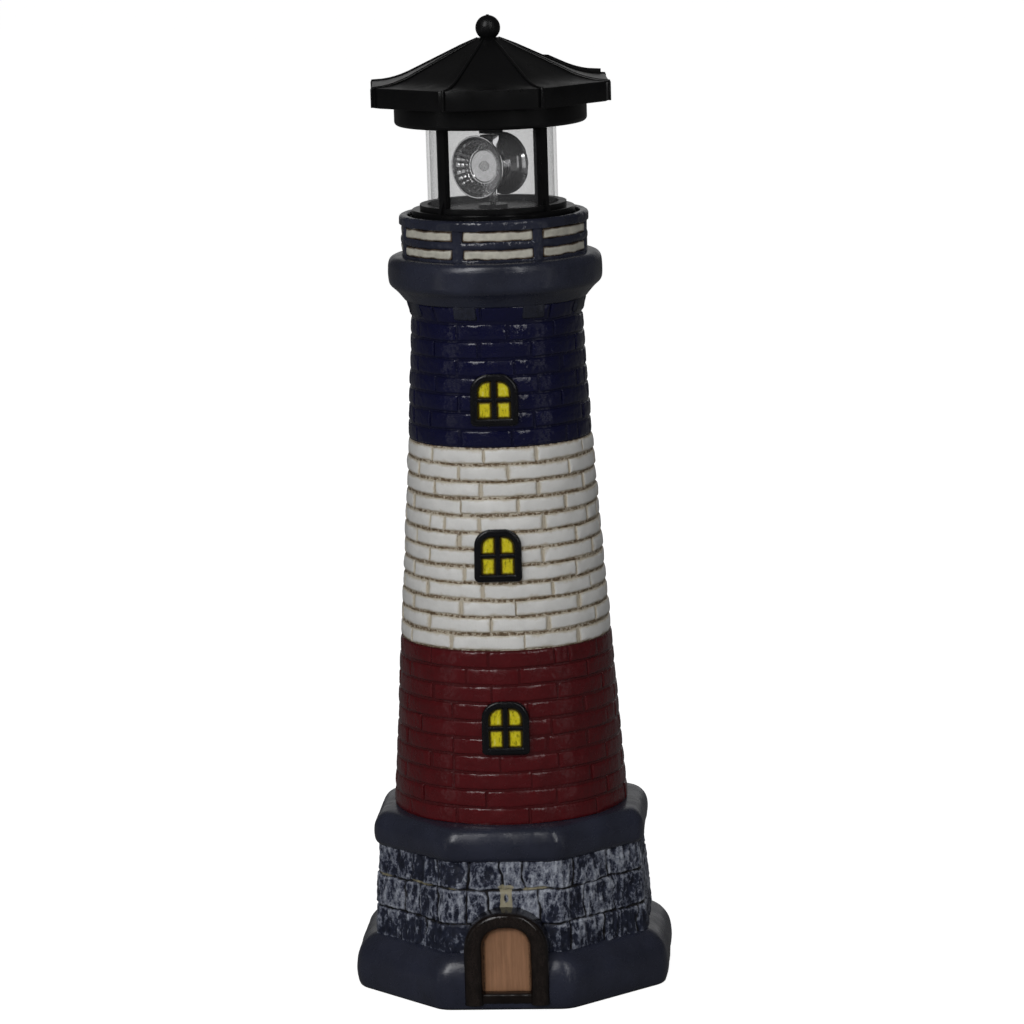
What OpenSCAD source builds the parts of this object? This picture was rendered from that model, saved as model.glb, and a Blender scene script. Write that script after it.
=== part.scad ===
// Garden lighthouse ornament with a drop-in solar lamp head and a turning beacon.
// The foot stands on the plane z = 0, the tower axis is Z and the door faces -Y.
// Azimuths run from the door side (-Y) towards +X.

/* [Base] */
// Corner radius of the octagonal foot at its widest level
foot_corner_r = 95.5; // [92:0.5:100]
// Height of the foot casting up to the lowest stones
foot_h = 30; // [27:0.5:33]
// Corner radius of the stone plinth at its lowest course
plinth_corner_r = 83.5; // [82:0.5:85]
// Height of the three stone courses together
plinth_h = 51; // [48:0.5:55]
// Corner radius of the rounded collar above the stones
collar_corner_r = 82; // [80:0.5:84]
// Height of the collar
collar_h = 18.5; // [16:0.5:22]

/* [Tower] */
// Outer radius where the tower leaves the collar
tower_foot_r = 66; // [64:0.5:68]
// Height of the lower, red band of bricks
red_h = 96.8; // [90:0.2:104]
// Outer radius between the red and the white band
red_top_r = 59.4; // [58:0.2:61]
// Height of the middle, white band of bricks
white_h = 111.9; // [105:0.3:120]
// Outer radius between the white and the navy band
white_top_r = 51.5; // [51:0.1:53]
// Height of the upper, navy band of bricks
navy_h = 77.3; // [72:0.3:84]
// Outer radius at the narrowest level, just under the corbels
waist_r = 47.9; // [47.5:0.1:49]
// Height of one course of bricks
course_h = 9.35; // [8:0.05:12]
// Depth of the mortar grooves
groove_depth = 1.1; // [0.6:0.1:1.4]
// Wall thickness of the hollow castings
wall = 6.2; // [5:0.1:6.3]

/* [Gallery] */
// Outer radius of the gallery ring
ring_r = 59.5; // [57:0.1:62]
// Height of the gallery casting, from its cove to the deck
gallery_h = 24.5; // [23:0.5:26]
// Outer radius of the top rail
rail_r = 52.75; // [52.5:0.05:54]
// Height of the railing wall above the deck
railing_h = 22.6; // [21:0.1:24]
// Radius of the round neck that takes the lamp head
neck_r = 41.5; // [41.3:0.1:41.6]
// Number of bays in the railing, with a post between each two
bays = 7; // [6:1:10]
// Turn of the railing's bays from the door side towards +X
bay_turn = 6.5; // [-22.5:0.5:22.5]
// Number of corbel blocks under the gallery
corbels = 8; // [6:1:10]
// Turn of the corbel blocks, as for the bays
corbel_turn = 6; // [-22.5:0.5:22.5]

/* [Windows and door] */
// Width of a window frame
window_w = 26.4; // [23:0.2:28]
// Height of the lower, middle and upper window frame
window_h = [29.8, 29, 28.4];
// Heights of the three window centres above the ground
window_z = [153.8, 249.1, 334.6];
// Azimuths of the three windows, from the door side towards +X
window_azimuth = [2.4, 0.8, 1];
// Width of the arched door surround
door_w = 47.6; // [44:0.4:50]
// Height of the top of the door surround above the ground
door_top_z = 57.5; // [56:0.5:62]

/* [Lamp head] */
// How far the lamp head is turned in its neck, anticlockwise from above
head_turn = 5.5; // [-20:0.5:20]
// Corner radius of the octagonal roof
roof_corner_r = 70.2; // [68:0.2:73]
// Rise of a roof ridge for each millimetre of run
roof_slope = 0.457; // [0.42:0.001:0.48]
// Height of the vertical roof edge
fascia_h = 11; // [10:0.5:12]
// Outer radius of the drum under the roof
drum_r = 53.2; // [51:0.2:55]
// Outer radius of the glass tube
glass_r = 36; // [35.6:0.1:36.2]
// Free height of the lantern room between tray and drum
lantern_h = 46.5; // [44:0.5:50]
// Radius of the tray flange that rests on the neck
tray_r = 45.3; // [44.6:0.1:46]
// Depth of the lamp cup below the flange
cup_depth = 43.5; // [43:0.5:48]

/* [Beacon] */
// Direction that the front reflector faces, from the door side towards +X
beacon_azimuth = -32; // [-180:1:180]
// Outer radius of a reflector's rim
reflector_r = 17.4; // [15:0.1:18]
// Distance from rim to rim of the two reflectors
beacon_span = 25.2; // [22:0.2:28]
// How far the pair of reflectors stands off the spin axis, towards the front one's light
beacon_shift = 1.8; // [0:0.1:1.8]

/* [Drive] */
// Size of the gear teeth, as pitch diameter over number of teeth
gear_module = 0.6; // [0.6:0.1:0.6]
// Teeth of the gear on the beacon shaft
drive_teeth = 36; // [36:2:36]
// Teeth of the idler gear
idler_teeth = 24; // [24:2:24]
// Teeth of the motor pinion
pinion_teeth = 12; // [12:2:12]

/* [Hidden] */
$fn = 96;
slip = 0.1;
spigot_h = 4;
spigot_t = 2.6;

plinth_z = foot_h;
collar_z = plinth_z + plinth_h;
red_z = collar_z + collar_h;
white_z = red_z + red_h;
navy_z = white_z + white_h;
gallery_z = navy_z + navy_h;
deck_z = gallery_z + gallery_h;
rim_z = deck_z + railing_h;
waist_z = gallery_z - 8.8;
navy_top_r = waist_r + 2.6;
base_bore_r = tower_foot_r - wall;

// Seat of the lamp head in the neck
ledge_z = rim_z - 3;
ledge_r = 47.7;
seat_t = 1.4;
tray_z = ledge_z + seat_t;
tray_t = 4.2;
lantern_z = tray_z + tray_t;
drum_z = lantern_z + lantern_h;
drum_h = 12;
fascia_z = drum_z + drum_h;
eave_z = fascia_z + fascia_h;

// Roof: straight ridges that flare out to a level eave
flat_half_angle = 22.5;
roof_wall = 2.2;
roof_straight_r = 46.4;
roof_cap_r = 8.3;
roof_bend_z = eave_z + roof_slope * (roof_corner_r - roof_straight_r) / 2;
roof_apex_z = roof_bend_z + roof_slope * roof_straight_r;
roof_cap_z = roof_apex_z - roof_slope * roof_cap_r;
roof_steps = concat([roof_cap_r, 30, roof_straight_r],
                    [for (r = [50 : 4 : roof_corner_r - 2]) r], [roof_corner_r]);
soffit_z = fascia_z + 2;
soffit_t = 2.2;
soffit_corner_r = roof_corner_r - 2.8;
roof_screw_r = 56;
finial_r = 6.9;

// Solar panel on the rear right facet
panel_azimuth = 135;
panel_frame_t = 2.6;
panel_a = [34.6, 64];
cell_a = [37.6, 61];
panel_margin = 1.8;
panel_rim = 3.2;

// Lantern
glass_wall = 1.8;
glass_foot_z = lantern_z - 0.9;
glass_top_z = drum_z + 3.6;
post_w = 5;
post_r = [glass_r + 0.4, glass_r + 4];
post_azimuths = [45, 135, 225, 315];
screwed_azimuths = [45, 225, 315];
post_screw_r = (post_r[0] + post_r[1]) / 2 + 0.5;
lead_at = 37.5;
lead_r = 0.5;
lead_bore_r = 0.7;
pivot_r = 1.5;
bearing_r = 1.55;
boss_h = 5.7;
centre_boss_h = 1.6;
beacon_z = lantern_z + 23.1;
reflector_wall = 0.8;
throat_r = 8.2;

// Lamp cup and what it holds
cup_r = 40;
cup_wall = 1.5;
cup_z = tray_z - cup_depth;
cup_floor = 2;
cup_inner_z = cup_z + cup_floor;
well_r = 4;
wells = [[0, 33.6], [-32.9, 5], [32.9, 5]];
well_top_z = cup_z + 20;
tray_boss_r = 3;
deck_plate_z = tray_z - 13.5;
deck_t = 2;
deck_r = 36.5;
deck_pillars = [[-17, 22], [-20, -18], [20, -18]];
gear_z = deck_plate_z + deck_t + 1.2;
gear_t = 4;
drive_idler_gap = gear_module * (drive_teeth + idler_teeth) / 2;
idler_pinion_gap = gear_module * (idler_teeth + pinion_teeth) / 2;
idler_angle = 75;
pinion_angle = -15;
idler_at = drive_idler_gap * [cos(idler_angle), sin(idler_angle)];
pinion_at = idler_at + idler_pinion_gap * [cos(pinion_angle), sin(pinion_angle)];
motor_r = 12;
motor_h = 21;
cell_at = [-17, cup_inner_z + 7.4];
cell_r = 7.2;
cell_l = 49.2;
cell_nub_h = 1.3;
door_y = [-24.3, -9.5];
door_x = 27.9;
door_gap = 0.4;
door_t = 1.6;
hinge_at = [-8.2, cup_z - 1.9];
knuckle_r = 1.7;
hinge_pin_r = 0.8;
board_z = cup_inner_z + 5.2;
board_from = [-27, 2];
board_size = [27, 24];
board_posts = [[-24.5, 5], [-24.5, 22.5], [-4, 22.5]];
switch_at = [-13.5, 12];
switch_travel = 3;

// Ridge height of the roof at a corner radius
function roof_z(r) =
    r <= roof_straight_r
    ? roof_apex_z - roof_slope * r
    : roof_bend_z - roof_slope * (r - roof_straight_r)
      + roof_slope * pow(r - roof_straight_r, 2) / (2 * (roof_corner_r - roof_straight_r));

// Height of a facet's middle line at a distance from the axis
function facet_z(a) = lookup(a / cos(flat_half_angle), [for (r = roof_steps) [r, roof_z(r)]]);

// Points where the facets of the roof bend, between two distances from the axis
function facet_steps(a) = concat([a[0]],
    [for (r = roof_steps) let (m = r * cos(flat_half_angle)) if (m > a[0] && m < a[1]) m], [a[1]]);

// Radius of the tower's face at a height
function tower_r(z) =
    z < white_z ? tower_foot_r + (red_top_r - tower_foot_r) * (z - red_z) / red_h
    : z < navy_z ? red_top_r + (white_top_r - red_top_r) * (z - white_z) / white_h
    : white_top_r + (waist_r - white_top_r) * (z - navy_z) / (waist_z - navy_z);

// Outline of a brick band from bottom to top, with a groove between courses
function band_face(z0, h, r0, r1) =
    let (n = round(h / course_h), lip = 0.6)
    [for (i = [0 : n - 1])
        let (a = i / n, b = (i + 1) / n, ra = r0 + (r1 - r0) * a, rb = r0 + (r1 - r0) * b)
        each [[ra - groove_depth, z0 + h * a + (i == 0 ? 0 : lip / 2)],
              [ra, z0 + h * a + lip + groove_depth / 2],
              [rb, z0 + h * b - lip - groove_depth / 2],
              [rb - groove_depth, z0 + h * b - (i == n - 1 ? 0 : lip / 2)]]];

module at_azimuth(a) {
    rotate([0, 0, a - 90]) children();
}

module in_head() {
    rotate([0, 0, head_turn]) children();
}

// Upright outline, drawn in X and Z, with its thickness running towards -Y from y = back
module upright(back, thickness) {
    translate([0, back, 0]) rotate([90, 0, 0]) linear_extrude(height = thickness) children();
}

module ring(r_out, r_in, h) {
    difference() {
        cylinder(r = r_out, h = h);
        translate([0, 0, -1]) cylinder(r = r_in, h = h + 2);
    }
}

// Long bar along one direction, its two flanks following a list of [height, distance]
module flanked_bar(flank, angle) {
    n = len(flank);
    rotate([0, 0, angle]) translate([0, 150, 0]) rotate([90, 0, 0]) linear_extrude(height = 300)
        polygon(concat([for (f = flank) [f[1], f[0]]],
                       [for (i = [n - 1 : -1 : 0]) [-flank[i][1], flank[i][0]]]));
}

// Octagon from a list of [height, corner radius], its corners blunted and a flat facing the door side
module octagon_stack(levels) {
    blunt = 1.5;
    flats = [for (l = levels) [l[0], l[1] * cos(flat_half_angle)]];
    corners = [for (l = levels) [l[0], l[1] - blunt]];
    intersection() {
        flanked_bar(flats, 0);
        flanked_bar(flats, 45);
        flanked_bar(flats, 90);
        flanked_bar(flats, 135);
        flanked_bar(corners, flat_half_angle);
        flanked_bar(corners, flat_half_angle + 45);
        flanked_bar(corners, flat_half_angle + 90);
        flanked_bar(corners, flat_half_angle + 135);
    }
}

// Rim that centres the next casting, standing on top of a hollow one
module spigot(z, bore_r) {
    translate([0, 0, z - 0.5]) ring(bore_r + spigot_t, bore_r, spigot_h + 0.5);
}

module socket(z, bore_r) {
    translate([0, 0, z - 1]) cylinder(r = bore_r + spigot_t + slip, h = spigot_h + slip + 1);
}

// ---- Base ----

module base_foot() {
    color("darkslategray") difference() {
        union() {
            octagon_stack([[0, foot_corner_r - 2], [9, foot_corner_r], [18, foot_corner_r - 0.7],
                           [foot_h - 6, foot_corner_r - 3.5], [foot_h - 2, foot_corner_r - 8],
                           [foot_h, plinth_corner_r + 0.5]]);
            spigot(foot_h, base_bore_r);
        }
        translate([0, 0, -1]) cylinder(r = base_bore_r, h = foot_h + spigot_h + 3);
        door_niche();
    }
}

// Joints between the stones of a course whose face has a corner radius, on all eight sides
module stone_joints(z0, z1, corner_r, shift) {
    joint_w = 1.5;
    joint_depth = 1.7;
    spacing = 17;
    for (side = [0 : 7], stone = [-1 : 1])
        at_azimuth(side * 45)
            translate([corner_r * cos(flat_half_angle) - joint_depth, shift + stone * spacing, z0])
                cube([8, joint_w, z1 - z0]);
}

module stone_plinth() {
    seam = 1.2;
    z1 = plinth_z + 16;
    z2 = z1 + 19;
    color("slategray") difference() {
        union() {
            octagon_stack([[plinth_z, plinth_corner_r - 0.6], [z1 - seam, plinth_corner_r - 0.8],
                           [z1, plinth_corner_r - 2.6], [z1 + 0.6, plinth_corner_r - 1.2],
                           [z2 - seam, plinth_corner_r - 2], [z2, plinth_corner_r - 3.8],
                           [z2 + 0.6, plinth_corner_r - 2.6],
                           [collar_z, plinth_corner_r - 4]]);
            spigot(collar_z, base_bore_r);
        }
        translate([0, 0, plinth_z - 1]) cylinder(r = base_bore_r, h = plinth_h + spigot_h + 3);
        socket(plinth_z, base_bore_r);
        stone_joints(plinth_z + 0.9, z1 - 0.4, plinth_corner_r - 0.7, 0.4);
        stone_joints(z1 + 0.3, z2 - 0.4, plinth_corner_r - 1.6, -6.3);
        stone_joints(z2 + 0.3, collar_z - 0.7, plinth_corner_r - 3.3, 4.2);
        door_niche();
    }
}

module base_collar() {
    color("darkslategray") difference() {
        union() {
            octagon_stack([[collar_z, collar_corner_r - 2.5], [collar_z + 2.5, collar_corner_r],
                           [collar_z + 10, collar_corner_r], [collar_z + 15, collar_corner_r - 2.6],
                           [red_z, collar_corner_r - 7]]);
            spigot(red_z, base_bore_r);
        }
        translate([0, 0, collar_z - 1]) cylinder(r = base_bore_r, h = collar_h + spigot_h + 3);
        socket(collar_z, base_bore_r);
    }
}

// ---- Tower ----

// Hollow brick band with a spigot on top and a socket below
module brick_band(z0, h, r0, r1) {
    bore0 = r0 - wall;
    bore1 = r1 - wall;
    rotate_extrude() polygon(concat(band_face(z0, h, r0, r1),
        [[bore1 + spigot_t, z0 + h], [bore1 + spigot_t, z0 + h + spigot_h], [bore1, z0 + h + spigot_h],
         [bore1, z0 + h], [bore0, z0 + spigot_h + 1], [bore0 + spigot_t + slip, z0 + spigot_h + slip],
         [bore0 + spigot_t + slip, z0]]));
}

module red_tower() {
    color("firebrick") difference() {
        brick_band(red_z, red_h, tower_foot_r, red_top_r);
        window_niche(0);
    }
}

module white_tower() {
    color("ivory") difference() {
        brick_band(white_z, white_h, red_top_r, white_top_r);
        window_niche(1);
    }
}

module navy_tower() {
    bore0 = white_top_r - wall;
    color("navy") difference() {
        rotate_extrude() polygon(concat(
            band_face(navy_z, waist_z - navy_z, white_top_r, waist_r),
            [[navy_top_r, gallery_z], [neck_r + spigot_t, gallery_z],
             [neck_r + spigot_t, gallery_z + spigot_h], [neck_r, gallery_z + spigot_h],
             [neck_r, waist_z], [bore0, navy_z + spigot_h + 1],
             [bore0 + spigot_t + slip, navy_z + spigot_h + slip], [bore0 + spigot_t + slip, navy_z]]));
        window_niche(2);
        corbel_blocks(slip);
    }
}

// ---- Gallery ----

// Blocks that hang from the gallery over the top of the navy bricks
module corbel_blocks(grow) {
    corbel_w = 13;
    corbel_drop = 7.5;
    back = neck_r + spigot_t + 1 - grow;
    face = navy_top_r + 0.7 + grow;
    foot = gallery_z - corbel_drop - grow;
    for (i = [0 : corbels - 1])
        at_azimuth(corbel_turn + (i + 0.5) * 360 / corbels)
            translate([0, corbel_w / 2 + grow, 0]) rotate([90, 0, 0])
                linear_extrude(height = corbel_w + 2 * grow)
                    polygon([[back, foot], [face - 1.8, foot], [face, gallery_z - 1], [face, gallery_z + 1], [back, gallery_z + 1]]);
}

module gallery() {
    round_r = 4.8;
    color("darkslategray") difference() {
        union() {
            rotate_extrude() {
                polygon([[neck_r, gallery_z], [navy_top_r + 0.4, gallery_z], [navy_top_r + 3.2, gallery_z + 2.4],
                         [ring_r - 1, gallery_z + 8], [ring_r, gallery_z + 10],
                         [ring_r, deck_z - round_r], [ring_r - round_r, deck_z - round_r],
                         [ring_r - round_r, deck_z], [neck_r, deck_z]]);
                translate([ring_r - round_r, deck_z - round_r]) circle(r = round_r);
            }
            corbel_blocks(0);
            spigot(deck_z, neck_r);
        }
        socket(gallery_z, neck_r);
        translate([0, 0, gallery_z - 1]) cylinder(r = neck_r, h = gallery_h + spigot_h + 3);
    }
}

// Heights of the two rows of light panels, above the deck
panel_rows = [[1.4, 5.2], [11.3, 5.3]];
panel_face_r = rail_r - 1.9;
panel_t = 1.5;

// Ring sectors between the railing posts, one for each bay and row
module bay_sectors(r_in, r_out, grow) {
    post_half = 2.85;
    half_angle = 180 / bays - asin(post_half / panel_face_r) + grow;
    for (row = panel_rows, i = [0 : bays - 1])
        translate([0, 0, deck_z + row[0] - grow]) at_azimuth(bay_turn + i * 360 / bays)
            linear_extrude(height = row[1] + 2 * grow) intersection() {
                difference() {
                    circle(r = r_out);
                    circle(r = r_in);
                }
                polygon([[0, 0], 2 * r_out * [cos(half_angle), -sin(half_angle)],
                         2 * r_out * [cos(half_angle), sin(half_angle)]]);
            }
}

module railing() {
    rail_round = 1.2;
    top_rail_h = 5.6;
    mid_rail_z = deck_z + 9;
    mid_rail_r = 1.9;
    color("darkslategray") difference() {
        union() {
            rotate_extrude() {
                polygon([[neck_r, deck_z], [rail_r - 1.2, deck_z], [rail_r - 1.2, deck_z + 1.2],
                         [panel_face_r, deck_z + 1.4], [panel_face_r, rim_z - top_rail_h - 0.3],
                         [rail_r, rim_z - top_rail_h + 0.6], [rail_r, rim_z - rail_round],
                         [rail_r - rail_round, rim_z - rail_round], [rail_r - rail_round, rim_z],
                         [neck_r, rim_z]]);
                translate([rail_r - rail_round, rim_z - rail_round]) circle(r = rail_round);
                translate([rail_r - 0.9 - mid_rail_r, mid_rail_z]) circle(r = mid_rail_r);
            }
            for (i = [0 : bays - 1])
                at_azimuth(bay_turn + (i + 0.5) * 360 / bays)
                    translate([neck_r + 4, -2.85, deck_z]) cube([rail_r - neck_r - 4.6, 5.7, railing_h - 3]);
        }
        translate([0, 0, deck_z - 1]) cylinder(r = neck_r, h = railing_h + 2);
        socket(deck_z, neck_r);
        translate([0, 0, ledge_z]) cylinder(r = ledge_r, h = 10);
        bay_sectors(panel_face_r - panel_t, rail_r + 2, 0.05);
    }
}

module rail_panels() {
    color("antiquewhite") bay_sectors(panel_face_r - panel_t, panel_face_r, 0);
}

// ---- Windows and door ----

// Arched outline standing on y = 0, its shoulders rounded
module arch(w, h, shoulder_r) {
    translate([-w / 2, 0]) square([w, h - shoulder_r]);
    for (side = [-1, 1])
        translate([side * (w / 2 - shoulder_r), h - shoulder_r]) circle(r = shoulder_r);
    if (shoulder_r < w / 2)
        translate([shoulder_r - w / 2, 0]) square([w - 2 * shoulder_r, h]);
}

// Stands its children on the tower's face at window i, leaning back with the wall
module on_wall(i) {
    z = window_z[i];
    lean = atan((tower_r(z - 10) - tower_r(z + 10)) / 20);
    rotate([0, 0, window_azimuth[i]]) translate([0, -tower_r(z), z]) rotate([-lean, 0, 0]) children();
}

window_stand = 2.4;
window_back = 4.2;
shoulder_r = 10;
light_margin = 4;
light_sill = 3.6;
mullion = 3;
glazing_bar = 2.2;
pane_t = 1.4;
pane_depth = 2.2;

module window_plate(i, back, stand) {
    upright(back, back + stand) translate([0, -window_h[i] / 2]) arch(window_w, window_h[i], shoulder_r);
}

module window_niche(i) {
    on_wall(i) window_plate(i, window_back, 20);
}

// The four openings of a window, grown or shrunk
module pane_openings(i, grow) {
    light_w = window_w - 2 * light_margin;
    light_h = window_h[i] - light_margin - light_sill;
    half_w = (light_w - mullion) / 2;
    half_h = (light_h - glazing_bar) / 2;
    translate([0, light_sill - window_h[i] / 2]) intersection() {
        translate([0, -grow]) arch(light_w + 2 * grow, light_h + 2 * grow, shoulder_r - light_margin + grow);
        for (side = [-1, 1], level = [0, 1])
            translate([side * (light_w - half_w) / 2 - half_w / 2 - grow, level * (light_h - half_h) - grow])
                square([half_w + 2 * grow, half_h + 2 * grow]);
    }
}

module window_frame(i) {
    color("black") on_wall(i) difference() {
        window_plate(i, window_back, window_stand);
        upright(pane_depth - window_stand, 20) pane_openings(i, 0);
    }
}

// Four panes, each a little below the frame's face
module window_panes(i) {
    color("gold") on_wall(i) upright(pane_depth - window_stand, pane_t) pane_openings(i, -0.02);
}

module lower_window_frame() { window_frame(0); }
module middle_window_frame() { window_frame(1); }
module upper_window_frame() { window_frame(2); }
module lower_window_panes() { window_panes(0); }
module middle_window_panes() { window_panes(1); }
module upper_window_panes() { window_panes(2); }

door_back_y = -70;
door_front_y = -90.6;
door_foot_z = 3.5;
jamb_w = 10.6;
arch_z = door_top_z - door_w / 2;
jamb_mid = (door_w - jamb_w) / 2;
threshold_h = 6.8;

module door_niche() {
    upright(door_back_y, 40) translate([0, door_foot_z])
        arch(door_w, door_top_z - door_foot_z, door_w / 2);
}

// Half-round moulding section, its back on y = 0
module jamb_section(depth) {
    translate([-jamb_w / 2, 0]) square([jamb_w, depth - jamb_w / 2]);
    translate([0, depth - jamb_w / 2]) circle(r = jamb_w / 2);
}

module door_surround() {
    depth = door_back_y - door_front_y;
    color("#1c120e") translate([0, door_back_y, 0]) {
        for (side = [-1, 1])
            translate([side * jamb_mid, 0, door_foot_z])
                linear_extrude(height = arch_z - door_foot_z) mirror([0, 1]) jamb_section(depth);
        translate([0, 0, arch_z]) intersection() {
            rotate([90, 0, 0]) rotate_extrude() translate([jamb_mid, 0]) jamb_section(depth);
            translate([-door_w, -door_w, 0]) cube(2 * door_w);
        }
        translate([-jamb_mid, -depth + 4, door_foot_z]) cube([2 * jamb_mid, depth - 4, threshold_h]);
    }
}

module door_panel() {
    panel_w = door_w - 2 * jamb_w;
    panel_foot_z = door_foot_z + threshold_h;
    panel_front = 13;
    color("peru") upright(door_back_y, panel_front) translate([0, panel_foot_z])
        arch(panel_w - 0.04, arch_z + panel_w / 2 - 0.02 - panel_foot_z, panel_w / 2 - 0.02);
}

// ---- Lamp head: roof and housing ----

module seat_ring() {
    squeeze = 0.02;
    color("dimgray") translate([0, 0, ledge_z]) ring(46.4, neck_r + 0.6, seat_t - squeeze);
}

module roof_shell() {
    skirt_r = roof_corner_r - roof_wall / cos(flat_half_angle);
    n = len(roof_steps);
    rotate([0, 0, flat_half_angle]) rotate_extrude($fn = 8) polygon(concat(
        [[0, roof_cap_z]],
        [for (r = roof_steps) [r, roof_z(r)]],
        [[roof_corner_r, fascia_z], [skirt_r, fascia_z], [skirt_r, roof_z(skirt_r) - roof_wall]],
        [for (i = [n - 2 : -1 : 0]) if (roof_steps[i] < skirt_r) [roof_steps[i], roof_z(roof_steps[i]) - roof_wall]],
        [[0, roof_cap_z - roof_wall]]));
}

// Raised bead along one ridge
module ridge_bead() {
    bead_h = 0.9;
    bead_w = 1.7;
    n = len(roof_steps);
    translate([0, bead_w / 2, 0]) rotate([90, 0, 0]) linear_extrude(height = bead_w) polygon(concat(
        [for (r = roof_steps) [r, roof_z(r) + bead_h * (r == roof_corner_r ? 0 : 1)]],
        [for (i = [n - 1 : -1 : 0]) [roof_steps[i], roof_z(roof_steps[i]) - 1]]));
}

module roof() {
    color("#101012") in_head() difference() {
        union() {
            roof_shell();
            for (i = [0 : 7])
                rotate([0, 0, (i + 0.5) * 45]) ridge_bead();
            for (i = [0 : 3])
                rotate([0, 0, (i * 2 + 0.5) * 45]) translate([roof_screw_r, 0, soffit_z + soffit_t])
                    cylinder(r = 3, h = roof_z(roof_screw_r) - soffit_z - soffit_t - 1.2);
            translate([0, 0, roof_cap_z - 11]) cylinder(r = 5.5, h = 10);
        }
        for (i = [0 : 3])
            rotate([0, 0, (i * 2 + 0.5) * 45]) translate([roof_screw_r, 0, soffit_z]) cylinder(r = 1.1, h = 6.2);
        translate([0, 0, roof_cap_z - 12]) cylinder(r = 2.6, h = 14);
        solar_panel_solid(slip);
    }
}

module finial() {
    neck_h = 2;
    ball_z = roof_cap_z + 6.3;
    color("#101012") {
        difference() {
            translate([0, 0, ball_z]) sphere(r = finial_r);
            translate([-10, -10, roof_cap_z - 20]) cube([20, 20, 20]);
        }
        translate([0, 0, roof_cap_z]) cylinder(r = 4.2, h = neck_h);
        translate([0, 0, roof_cap_z - 9]) cylinder(r = 2.6, h = 12);
        translate([0, 0, ball_z + finial_r - 0.6]) cylinder(r = 0.9, h = 1);
    }
}

// Wedge between two distances from the axis, its sides parallel to a facet's ridges
module facet_wedge(a, margin) {
    half = [for (m = a) m * tan(flat_half_angle) - margin];
    translate([0, 0, fascia_z]) linear_extrude(height = 40)
        polygon([[a[0], -half[0]], [a[1], -half[1]], [a[1], half[1]], [a[0], half[0]]]);
}

module panel_frame() {
    band = facet_steps(panel_a);
    n = len(band);
    color("#101012") in_head() at_azimuth(panel_azimuth) difference() {
        intersection() {
            translate([0, 30, 0]) rotate([90, 0, 0]) linear_extrude(height = 60) polygon(concat(
                [for (m = band) [m, facet_z(m) + panel_frame_t]],
                [for (i = [n - 1 : -1 : 0]) [band[i], facet_z(band[i])]]));
            facet_wedge(panel_a, panel_margin);
        }
        facet_wedge(cell_a, panel_margin + panel_rim);
    }
}

// Flat laminate that bridges the hollow of its facet
module solar_panel_solid(grow) {
    panel_sink = 1.1;
    panel_rise = 0.7;
    a = [cell_a[0] + slip - grow, cell_a[1] - slip + grow];
    at_azimuth(panel_azimuth) intersection() {
        translate([0, 30, 0]) rotate([90, 0, 0]) linear_extrude(height = 60)
            polygon([[a[0], facet_z(a[0]) + panel_rise], [a[1], facet_z(a[1]) + panel_rise],
                     [a[1], facet_z(a[1]) - panel_sink - grow / 2], [a[0], facet_z(a[0]) - panel_sink - grow / 2]]);
        facet_wedge(a, panel_margin + panel_rim + slip - grow);
    }
}

module solar_panel() {
    color("midnightblue") in_head() solar_panel_solid(0);
}

module lamp_housing() {
    fillet = 2.4;
    floor_t = 2.4;
    socket_r = 41.6;
    color("#101012") in_head() difference() {
        union() {
            rotate_extrude() difference() {
                union() {
                    translate([0, drum_z + fillet]) square([drum_r, soffit_z - drum_z - fillet + 0.5]);
                    translate([0, drum_z]) square([drum_r - fillet, fillet]);
                    intersection() {
                        translate([drum_r - fillet, drum_z + fillet]) circle(r = fillet);
                        translate([0, drum_z]) square([drum_r, fillet]);
                    }
                }
                translate([0, drum_z + floor_t]) square([drum_r - roof_wall, 40]);
            }
            difference() {
                translate([0, 0, soffit_z]) rotate([0, 0, flat_half_angle])
                    cylinder(r = soffit_corner_r, h = soffit_t, $fn = 8);
                translate([0, 0, soffit_z - 1]) cylinder(r = drum_r - roof_wall, h = 10);
            }
            translate([0, 0, drum_z + 0.5]) ring(socket_r, glass_r - glass_wall - 1.4, 5);
            translate([0, 0, drum_z - boss_h]) cylinder(r = 6.6, h = boss_h + 4);
        }
        translate([0, 0, drum_z - 1])
            ring(glass_r + slip, glass_r - glass_wall - slip, glass_top_z - drum_z + 1 + slip);
        translate([0, 0, drum_z - boss_h - 1]) cylinder(r = bearing_r, h = boss_h + 4);
        for (a = post_azimuths)
            at_azimuth(a) post_tongue(slip);
        at_azimuth(panel_azimuth) translate([lead_at, 0, drum_z - 1]) cylinder(r = lead_bore_r, h = 12);
        for (i = [0 : 3])
            rotate([0, 0, (i * 2 + 0.5) * 45]) translate([roof_screw_r, 0, soffit_z - 1]) cylinder(r = 1.4, h = 5);
    }
}

module glass_tube() {
    color("lightgray", 0.35) translate([0, 0, glass_foot_z])
        ring(glass_r, glass_r - glass_wall, glass_top_z - glass_foot_z);
}

// End of a post that enters the drum, with a little room around it when grown
module post_tongue(grow) {
    translate([post_r[0] + 1.8 - grow, -1.8 - grow, drum_z - 1])
        cube([1.7 + 2 * grow, 3.6 + 2 * grow, 4.8 + grow]);
}

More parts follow.
